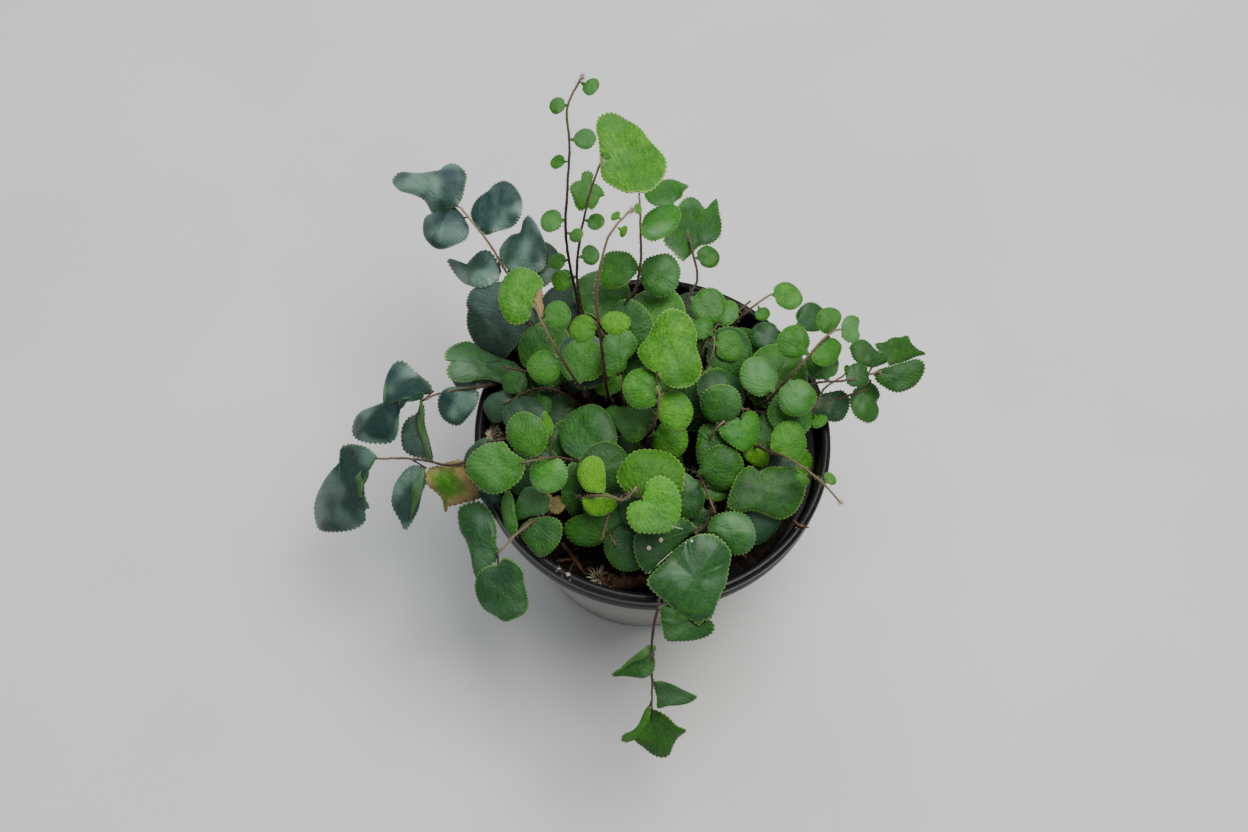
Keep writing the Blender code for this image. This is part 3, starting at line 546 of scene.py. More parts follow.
# %% Forms of a leaflet
# How a blade is bent: a fold along the midrib, a cup across, a droop towards the tip, a wave round the edge,
# and how its outline departs from round: broad towards the tip, a notch at the tip, a skew to one side,
# and a sinus where the stalk meets it
FORM_PARTS = ("fold", "cup", "droop", "wave", "broad", "notch", "skew", "sinus")
FORM_ROWS = {
    "round": (0.05, 0.12, 0.06, 0.02, -0.03, 0.0, 0.0, 0.05),
    "heart": (0.12, 0.10, 0.08, 0.02, -0.14, 0.0, 0.0, 0.09),
    "kidney": (0.10, 0.12, 0.10, 0.03, -0.08, 0.03, 0.0, 0.12),
    "lobed": (0.06, 0.12, 0.12, 0.04, -0.26, 0.0, 0.14, 0.06),
    "mitten": (0.06, 0.12, 0.05, 0.03, -0.34, 0.0, 0.10, 0.05),
    "saddle": (-0.42, 0.0, 0.25, 0.06, 0.22, 0.10, 0.12, 0.03),
    "folded": (0.55, 0.05, 0.30, 0.04, -0.05, 0.0, 0.1, 0.02),
    "pointed": (0.15, 0.05, 0.15, 0.04, -0.25, -0.12, 0.05, 0.04),
    "long": (0.12, 0.10, 0.18, 0.05, 0.05, 0.0, -0.15, 0.03),
    "dying": (0.20, -0.2, 0.35, 0.07, 0.1, 0.05, 0.1, 0.0),
    "dead": (0.9, 0.0, 0.1, 0.1, 0.0, 0.0, 0.0, 0.0),
}
FORMS = {name: dict(zip(FORM_PARTS, row)) for name, row in FORM_ROWS.items()}
print("forms:", ", ".join(FORMS))

# %% Table of fronds
# Each frond: name, tone (0 dark blue-green, 1 yellow-green), route (x, y, height above the floor) from
# the soil up, and its leaflets from the tip down as (percent along, bearing, length, width, form)
FRONDS = [
    ("back_tall", 0.72, [(-20, 19, 68), (-25, 27, 104), (-29, 33, 130), (-29, 42, 156), (-30, 47, 168),
        (-27, 52, 174)],
     [(99, -20, 5, 5), (93, 180, 5, 5), (84, 10, 7, 6), (78, 175, 5, 4), (61, 180, 7, 7), (57, -15, 5, 4),
      (48, 180, 6, 5), (42, 200, 6, 6)]),
    ("back_middle", 0.68, [(-16, 22, 68), (-24, 29, 98), (-26, 36, 113), (-24, 45, 130), (-21, 50, 142)],
     [(100, 60, 3, 3), (80, 118, 12, 10, "lobed"), (75, -5, 6, 5), (60, 15, 6, 6), (52, 190, 6, 6)]),
    ("back_broad_tip", 0.85, [(-11, 18, 68), (-12, 27, 100), (-9, 32, 106), (-8, 36, 114), (-9, 42, 125),
        (-10, 46, 133)],
     [(100, 109, 32, 19, "mitten"), (87, 10, 12, 12), (66, 175, 12, 12), (63, 14, 12, 12)]),
    ("front_arching", 0.9, [(-12, 11, 68), (-14, 4, 92), (-16, 5, 112), (-18, 9, 126), (-19, 14, 136),
        (-17, 22, 148), (-12, 28, 152)],
     [(100, 20, 3, 3), (95, 150, 3, 3), (91, -20, 3, 3), (64, 5, 8, 7), (61, 185, 8, 8), (22, 100, 8, 8)]),
    ("left_arching", 0.85, [(-18, 8, 68), (-19, 4, 88), (-24, 3, 104), (-29, 6, 114), (-33, 10, 120),
        (-36, 15, 123)],
     [(93, 128, 15, 13), (91, 30, 8, 8), (71, 210, 10, 9)]),
    ("middle_broad_tip", 0.9, [(-2, 2, 68), (-1, -8, 96), (0, -9, 110), (0, -6, 116), (-1, -4.5, 118)],
     [(100, 75, 22, 17, "mitten"), (93, 185, 11, 11), (82, 0, 11, 10), (59, 160, 11, 11), (44, -15, 11, 11)]),
    ("right_upper", 0.75, [(26, 12, 68), (31, 5, 95), (35, 7, 104), (39, 11, 108), (46, 20, 110),
        (50, 23, 109)],
     [(100, 20, 7, 6), (94, 115, 7, 7), (86, -35, 8, 8), (79, 145, 10, 10), (64, -58, 11, 11),
      (54, 140, 12, 11)]),
    ("right_long", 0.68, [(20, 16, 68), (30, 9, 92), (45, 11, 98), (55, 14, 96), (67, 21, 92)],
     [(100, 50, 14, 10, "pointed"), (96, -14, 14, 10), (88, 110, 10, 9), (82, -60, 6, 6), (68, 110, 10, 10)]),
    ("right_low", 0.5, [(23, 10, 68), (33, 8, 84), (50, 12, 87), (62, 17, 85)],
     [(98, -75, 11, 9), (78, -80, 8, 9)]),
    ("right_curled", 0.8, [(36, 3, 68), (43, 1, 86), (46, 7, 93), (48, 12, 93), (54, 18, 91)],
     [(100, 40, 4, 4), (60, -60, 5, 5)]),
    ("right_runner", 0.88, [(25, 0, 68), (29, -6, 88), (33, -11, 96), (38, -14, 99), (47, -19, 97),
        (53, -23, 93)],
     [(88, 50, 4, 4), (78, -115, 4, 4), (56, 65, 11, 11), (37, -60, 9, 8)]),
    ("right_front", 0.78, [(20, -6, 68), (24, -12, 84), (28, -15, 90), (31, -16, 92)],
     [(100, -48, 15, 21, "kidney")]),
    ("right_middle", 0.72, [(12, -1, 68), (15, -7, 88), (17, -5, 95), (19.5, -3, 97)],
     [(100, -10, 12, 11, "heart"), (88, 110, 12, 11), (64, -78, 12, 12)]),
    ("front_middle", 0.98, [(-21, -19, 68), (-19, -28, 92), (-15, -30, 99), (-11, -31, 102), (-7, -33, 105),
        (-4, -31, 110)],
     [(100, -40, 16, 15, "heart"), (89, 60, 15, 18, "lobed"), (60, -90, 8, 9), (64, 100, 10, 8)]),
    ("left_front", 0.62, [(-15, -6, 68), (-20, -18, 94), (-26, -20, 100), (-30, -22, 103), (-36, -24, 103)],
     [(100, 185, 15, 16), (88, 110, 12, 11), (80, -85, 10, 10), (51, 88, 16, 16)]),
    ("front_left_over_rim", 0.38, [(-26, -21, 68), (-26, -28, 78), (-31, -33, 85), (-36, -38, 86),
        (-41, -43, 82)],
     [(100, -80, 18, 15, "heart"), (99, 128, 20, 14, "long"), (62, -50, 12, 12), (49, 115, 9, 12)]),
    ("front_dark_tip", 0.36, [(17, -16, 68), (18, -27, 86), (16, -33, 92), (13, -37, 95)],
     [(100, -86, 24, 24, "lobed"), (92, -162, 15, 16), (76, -30, 13, 13), (48, -140, 9, 8)]),
    ("front_trailing", 0.55, [(6, -29, 68), (5, -46, 85), (5, -54, 88), (4, -61, 85), (4, -65, 80),
        (5, -71, 70), (6, -77, 58)],
     [(100, -60, 17, 14, "folded"), (97, -115, 12, 9, "folded"), (90, 5, 13, 9, "folded"),
      (73, 190, 13, 10, "folded"), (53, -8, 16, 11)]),
    ("left_dark_upper", 0.08, [(-40, 16, 68), (-46, 9, 84), (-50, 6, 88), (-54, 5, 88), (-64, 5, 82),
        (-70, 6, 74)],
     [(100, 178, 26, 27, "saddle"), (92, -100, 17, 10, "folded"), (67, -80, 11, 13)]),
    ("left_dark_lower", 0.1, [(-38, -11, 68), (-48, -17, 87), (-57, -20, 88), (-63, -18, 85),
        (-70, -15, 79), (-81, -12, 70)],
     [(100, -135, 31, 23, "saddle"), (76, -95, 17, 10, "folded"), (50, -85, 14, 14, "dying")]),
    ("back_left_dark", 0.08, [(-31, 30, 68), (-37, 35, 85), (-42, 38, 91), (-48, 43, 92), (-54, 53, 90),
        (-65, 69, 84)],
     [(100, 158, 32, 19, "saddle"), (95, -150, 15, 14), (87, 50, 18, 17), (64, 50, 18, 15, "pointed"),
      (60, -172, 19, 10, "folded")]),
    ("left_dark_inner", 0.22, [(-30, 23, 68), (-34, 23, 84), (-39, 27, 92)],
     [(100, 175, 21, 22), (88, -155, 15, 15), (74, 50, 20, 17)]),
    ("left_inner", 0.36, [(-34, 18, 68), (-38, 16, 80), (-42, 14, 87)],
     [(100, 180, 22, 14, "long")]),
    ("back_right", 0.66, [(3, 27.5, 68), (5, 29, 95), (7, 35, 100), (9, 41, 101), (6, 54, 100), (4, 65, 96)],
     [(100, 135, 13, 13), (88, 60, 19, 14, "pointed"), (72, 20, 8, 7), (64, -60, 9, 9), (52, -20, 11, 11),
      (40, 170, 12, 11)]),
    ("back_right_low", 0.75, [(15, 23, 68), (20, 32, 88), (24, 34, 94), (28, 37, 97), (31, 39, 98)],
     [(100, 10, 10, 9), (87, -50, 5, 5), (66, 160, 9, 9), (50, -20, 12, 11)]),
    ("middle_left", 0.62, [(-16, 1, 68), (-23, 3, 88), (-31, 4, 94), (-38, 3, 92), (-44, 1, 87)],
     [(100, 195, 9, 9), (86, 120, 8, 7), (74, -80, 7, 7), (66, 95, 11, 10), (52, 88, 9, 9, "heart")]),
    ("middle_short", 0.7, [(-7, 6, 68), (-9, 0, 96), (-11, 4, 106)],
     [(100, 95, 12, 10), (70, -120, 8, 8)]),
    ("middle_right", 0.66, [(11, 16, 68), (13, 13, 92), (15, 18, 98), (15, 23, 99)],
     [(100, 150, 7, 7), (93, 0, 9, 9), (80, -60, 10, 9)]),
    ("right_back", 0.52, [(24, 18, 68), (32, 24, 84), (36, 29, 91), (39, 32, 93)],
     [(100, 30, 12, 9, "long"), (76, 145, 9, 9), (50, -60, 13, 12)]),
    ("front_short", 0.7, [(-7, -18, 68), (-9, -31, 84), (-10, -37, 88), (-8, -40, 89)],
     [(93, -45, 10, 11), (86, 180, 13, 11), (55, 155, 10, 9)]),
]
print("listed fronds:", len(FRONDS), "with", sum(len(row[3]) for row in FRONDS), "leaflets")

# %% [markdown]
# The low fronds under the canopy are seen only as leaves in its gaps, so they aren't listed. They stand on a
# spiral, as seeds in a flower head do, and are given a little chance by a seeded generator, which gives the
# same plant on every run.

# %% Low fronds by rule
LOW_FRONDS = 15
SPIRAL_TURN = 137.5
LOW_INNER_RADIUS = 7.0
LOW_OUTER_RADIUS = 31.0
LOW_REACH = 19.0
LOW_HEIGHT = 86.0
LOW_TONE = 0.45
LOW_SIZE = 16.5
LOW_SPACING = 6.5
LOW_START = 0.26
BARE_BEARINGS = (275, 345)
BARE_RADIUS = 26.0
ROOT_SPACING = 3.0


def low_frond_routes():
    """The routes of the low fronds, on a spiral from the crown outwards, as (name, tone, route)."""
    dice = random.Random(SEED)
    taken = [Vector(route[0]).xy for _, _, route, _ in FRONDS]
    for index in range(LOW_FRONDS):
        share = index / (LOW_FRONDS - 1)
        turn = (SPIRAL_TURN * index + dice.uniform(-12, 12)) % 360
        bearing = math.radians(turn)
        out = Vector((math.cos(bearing), math.sin(bearing), 0))
        side = Vector((-out.y, out.x, 0)) * dice.uniform(-6, 6)
        outer = BARE_RADIUS if BARE_BEARINGS[0] < turn < BARE_BEARINGS[1] else LOW_OUTER_RADIUS
        root = out * (LOW_INNER_RADIUS + (outer - LOW_INNER_RADIUS) * share)
        while min((root.xy - other).length for other in taken) < ROOT_SPACING:
            root += out
        taken.append(root.xy)
        height = LOW_HEIGHT + (1 - share) * 8 + dice.uniform(-2, 3)
        reach = LOW_REACH + dice.uniform(-3, 4)
        middle = root + out * (0.4 * reach) + side + Vector((0, 0, height))
        tip = root + out * reach + side * 2 + Vector((0, 0, height + 1))
        yield "low_" + str(index + 1), LOW_TONE + dice.uniform(-0.1, 0.12), [root, middle, tip]


ALL_FRONDS = FRONDS + [(name, tone, route, None) for name, tone, route in low_frond_routes()]
print("fronds in all:", len(ALL_FRONDS))

# %% [markdown]
# A stem's route is a handful of points. A Catmull-Rom curve goes through them all, so the points can be read
# straight off the photograph, and it is then cut into even steps. The solid may have bent a stem a little
# aside to clear its neighbours. The script tries the same few bends and keeps the one that lies inside the
# solid, so the fine stem ends up exactly where the solid is.

# %% Stems along their routes
STEM_RADIUS = 0.68
TIP_RADIUS = 0.42
STEM_SPACING = 9.5
HOLE_DEPTH = 8.0
FOOT_GAP = 0.6
ROUTE_STEPS = 24


def curve_point(a, b, c, d, t):
    """A point of the Catmull-Rom curve between its corners b and c, at t from 0 to 1."""
    return 0.5 * (2 * b + (c - a) * t + (2 * a - 5 * b + 4 * c - d) * t ** 2
                  + (3 * b - a - 3 * c + d) * t ** 3)


def smooth_points(route, count):
    """A Catmull-Rom curve through the route, read at even steps of its length. It leaves the soil upright."""
    below = route[0] - Vector((0, 0, (route[1] - route[0]).length))
    corners = [below] + route + [2 * route[-1] - route[-2]]
    fine = []
    for a, b, c, d in zip(corners, corners[1:], corners[2:], corners[3:]):
        fine += [curve_point(a, b, c, d, step / ROUTE_STEPS) for step in range(ROUTE_STEPS)]
    fine.append(route[-1])
    run = [0.0]
    for first, second in zip(fine, fine[1:]):
        run.append(run[-1] + (second - first).length)
    points, index = [], 0
    for step in range(count + 1):
        wanted = run[-1] * step / count
        while index < len(run) - 2 and run[index + 1] < wanted:
            index += 1
        span = run[index + 1] - run[index]
        points.append(fine[index].lerp(fine[index + 1], (wanted - run[index]) / span))
    return points


class Stem:
    """A frond's stem: coarse points as the solid has them, and the corners to draw a fine one."""

    def __init__(self, route, bend):
        corners = [Vector(point) for point in route]
        corners[0].z = soil_height(corners[0].x, corners[0].y) + 1
        last = len(corners) - 1
        for index in range(1, last):
            corners[index] = corners[index] + bend * math.sin(math.pi * index / last)
        rough = sum((b - a).length for a, b in zip(corners, corners[1:]))
        self.corners = corners
        self.points = smooth_points(corners, max(4, round(rough / STEM_SPACING)))
        self.length = sum((b - a).length for a, b in zip(self.points, self.points[1:]))

    def at(self, share):
        """The point and the direction of travel at a share of the length, 0 at the soil and 1 at the tip."""
        place = min(max(share, 0.0), 1.0) * (len(self.points) - 1)
        index = min(int(place), len(self.points) - 2)
        first, second = self.points[index], self.points[index + 1]
        return first.lerp(second, place - index), (second - first).normalized()


def stem_bends():
    """Ways to bend the middle of a stem aside, the smallest first."""
    yield Vector((0, 0, 0))
    for size in (1.5, 3, 4.5, 6, 8):
        for bearing in range(0, 360, 60):
            angle = math.radians(bearing)
            yield Vector((math.cos(angle), math.sin(angle), 0)) * size
        yield Vector((0, 0, size))
        yield Vector((0, 0, -size))


def tree_of(points):
    """A search tree that tells which of the points is nearest to a place."""
    tree = KDTree(len(points))
    for index, point in enumerate(points):
        tree.insert(point, index)
    tree.balance()
    return tree


def off_by(tree, points, wanted):
    """How far, on average, the points miss lying just this far from the nearest corner of the solid."""
    return sum(abs(tree.find(point)[2] - distance) for point, distance in zip(points, wanted)) / len(points)


def fitted_stem(route, tree):
    """The stem on this route with the bend that the solid has."""
    best = None
    for bend in stem_bends():
        stem = Stem(route, bend)
        last = len(stem.points) - 1
        wanted = [STEM_RADIUS + (TIP_RADIUS - STEM_RADIUS) * index / last for index in range(last + 1)]
        miss = off_by(tree, stem.points[1:-1], wanted[1:-1])
        if best is None or miss < best[0] - 1e-6:
            best = (miss, stem)
    return best


trees, stems, worst = {}, {}, 0.0
for name, tone, route, _ in ALL_FRONDS:
    if "frond_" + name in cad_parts:
        trees[name] = tree_of([vertex.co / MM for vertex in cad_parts["frond_" + name].data.vertices])
        miss, stems[name] = fitted_stem(route, trees[name])
        worst = max(worst, miss)
print("stems found:", len(stems), "of", len(ALL_FRONDS), "- worst miss", round(worst, 3), "mm")

# %% [markdown]
# A leaflet grows from a point on its stem at a bearing. It lies in a frame of its own: across, along and
# normal, where the normal looks up, a little outwards and to the front. Its shape is one formula, from
# an angle round the disc (0 at the tip) and a reach (0 at the middle, 1 at the edge) to a point, so the
# solid's coarse blade and the fine one here are the same surface. As with the stems, the small turn that the
# solid gave each leaflet is found by trying the same turns against the solid's corners.

# %% Leaflets in their frames
BLADE = 0.6
PETIOLE = 1.4
FACING = Vector((0.0, -0.32, 1.0))
OUTWARD_LEAN = 0.28
SPREAD = 0.14
SMALL_LEAF, MIDDLE_LEAF, LARGE_LEAF = 6.0, 10.0, 19.0
FIT_WITHIN = 0.2


class Leaf:
    """A leaflet: where it grows from its stem, its size and form, and the frame that it lies in."""

    def __init__(self, stem, share, bearing, length, width, form, tilt):
        self.stem, self.share, self.bearing, self.tilt = stem, share, bearing, tilt
        self.length, self.width, self.form = length, width, form
        self.colour = self.outline = self.roll = None
        self.place(0, 0, 0, 1)

    def place(self, pitch, roll, slide, scale):
        """Sets the leaflet with a pitch and a roll in degrees, slid along its stem by slide millimetres."""
        self.scale = scale
        self.base, _ = self.stem.at(self.share + slide / self.stem.length)
        out = Vector((self.base.x, self.base.y, 0)) / RIM_RADIUS
        normal = (FACING + out * OUTWARD_LEAN + self.tilt).normalized()
        angle = math.radians(self.bearing)
        along = Vector((math.cos(angle), math.sin(angle), 0))
        along = (along - normal * along.dot(normal)).normalized()
        across = along.cross(normal)
        turn = Matrix.Rotation(math.radians(pitch), 3, across) @ Matrix.Rotation(math.radians(roll), 3, along)
        self.axes = Matrix((turn @ across, turn @ along, turn @ normal)).transposed()

    def corner_angles(self):
        """The angles of the solid's corners, closer together by the stalk, with the stalk itself left out."""
        count = 14 if self.length >= LARGE_LEAF else 10
        if self.length < MIDDLE_LEAF:
            count = 6 if self.length < SMALL_LEAF else 8
        shares = [2 * index / count for index in range(count) if 2 * index != count]
        shares = np.array([share if share < 1 else share - 2 for share in shares])
        return math.pi * np.sign(shares) * np.abs(shares) ** 0.9

    def bent(self, x, y, wave=0.0):
        """How far the blade rises from its plane at points of it, from its fold, cup, droop and a wave."""
        form, length, width = FORMS[self.form], self.length * self.scale, self.width * self.scale
        across, along = 2 * x / width, y / length
        bend = form["fold"] * width * 0.25 * (np.sqrt(across ** 2 + 0.02) - 0.141)
        bend = bend - form["cup"] * width * 0.25 * across ** 2 - form["droop"] * length * along ** 2
        return (bend + form["wave"] * width * wave) * np.clip(along * 6, 0, 1) ** 2

    def height_at(self, x, y):
        """How far the blade rises from its plane at one point."""
        return float(self.bent(np.array([x]), np.array([y]))[0])

    def shape(self, angle, reach, stalk=0.25):
        """The blade in its own frame at arrays of angles from its tip and shares of the way to its edge."""
        form, away = FORMS[self.form], np.abs(angle)
        length, width = self.length * self.scale, self.width * self.scale
        tip_notch = form["notch"] * np.exp(-((away / 0.5) ** 2))
        to_stalk = np.exp(-(((math.pi - away) / stalk) ** 2))
        sinus = form["sinus"] * np.exp(-(((math.pi - away - 0.62) / 0.35) ** 2))
        edge_x = width / 2 * np.sin(angle) * (1 + form["broad"] * np.cos(angle))
        edge_x = edge_x + width * form["skew"] * 0.5 * np.sin(angle) ** 2
        edge_y = PETIOLE + (length - PETIOLE) * (0.5 + 0.5 * np.cos(angle) - tip_notch - sinus)
        edge_y = edge_y * (1 - to_stalk)
        middle_y = PETIOLE + (length - PETIOLE) * 0.5
        x, y = edge_x * reach, middle_y + (edge_y - middle_y) * reach
        wave = reach ** 2 * np.sin(3 * angle + 5 * self.bearing)
        return np.stack([x, y, self.bent(x, y, wave)], axis=-1)

    def world(self, points):
        """Points of the leaflet's own frame, as an array, in the plant's frame."""
        return points @ np.array(self.axes).T + np.array(self.base)


LEAF_TURNS = sorted([(pitch, roll, slide, scale)
                     for pitch in (0, 9, -9, 18, -18, 30, -30) for roll in (0, 11, -11, 22, -22)
                     for slide in (0, 1.5, -1.5, 3) for scale in (1, 0.92, 0.84)],
                    key=lambda way: (abs(way[0]) / 9 + abs(way[1]) / 11 + abs(way[2]) / 1.5
                                     + (1 - way[3]) * 16))


def tilt_of(dice):
    """A small lean of the blade by chance."""
    return Vector((dice.uniform(-SPREAD, SPREAD), dice.uniform(-SPREAD, SPREAD), 0))


def leaves_of(index, stem, leaflets):
    """The leaflets that a frond was given: those of its table row, then those of the rule lower down."""
    dice = random.Random(SEED + index)
    for percent, bearing, length, width, *form in leaflets or []:
        yield Leaf(stem, percent / 100, bearing, length, width, form[0] if form else "round", tilt_of(dice))
    dice = random.Random(SEED + 100 + index)
    last = (min(leaf[0] for leaf in leaflets) / 100 if leaflets else 1.06) - 5 / stem.length
    count = int((last - LOW_START) * stem.length / LOW_SPACING)
    for number in range(count):
        share = last - (last - LOW_START) * (number + 1) / count
        _, along = stem.at(share)
        side = 1 if number % 2 else -1
        bearing = math.degrees(math.atan2(along.y, along.x)) + side * dice.uniform(60, 100)
        length = LOW_SIZE * dice.uniform(0.8, 1.1) * (1.1 - 0.25 * share)
        yield Leaf(stem, share, bearing, length, length * dice.uniform(0.95, 1.1), "round", tilt_of(dice))


def fitted(leaf, tree):
    """Gives the leaflet the turn that the solid has, and says how well its edge lies on the solid's."""
    rim = leaf.shape(leaf.corner_angles(), 1.0)
    best = (math.inf, None)
    for way in LEAF_TURNS:
        leaf.place(*way)
        edge = leaf.world(rim if way[3] == 1 else leaf.shape(leaf.corner_angles(), 1.0))
        miss = 0.0
        for point in edge:
            miss += abs(tree.find(point)[2] - BLADE / 2)
            if miss > best[0]:
                break
        if miss < best[0]:
            best = (miss, way)
    leaf.place(*best[1])
    return best[0] / len(rim)


fronds, lost = [], []
for index, (name, tone, route, leaflets) in enumerate(row for row in ALL_FRONDS if row[0] in stems):
    kept = []
    for leaf in leaves_of(index, stems[name], leaflets):
        (kept if fitted(leaf, trees[name]) < FIT_WITHIN else lost).append(leaf)
    fronds.append((name, tone, stems[name], kept))
print("leaflets found:", sum(len(frond[3]) for frond in fronds), "- without room:", len(lost))
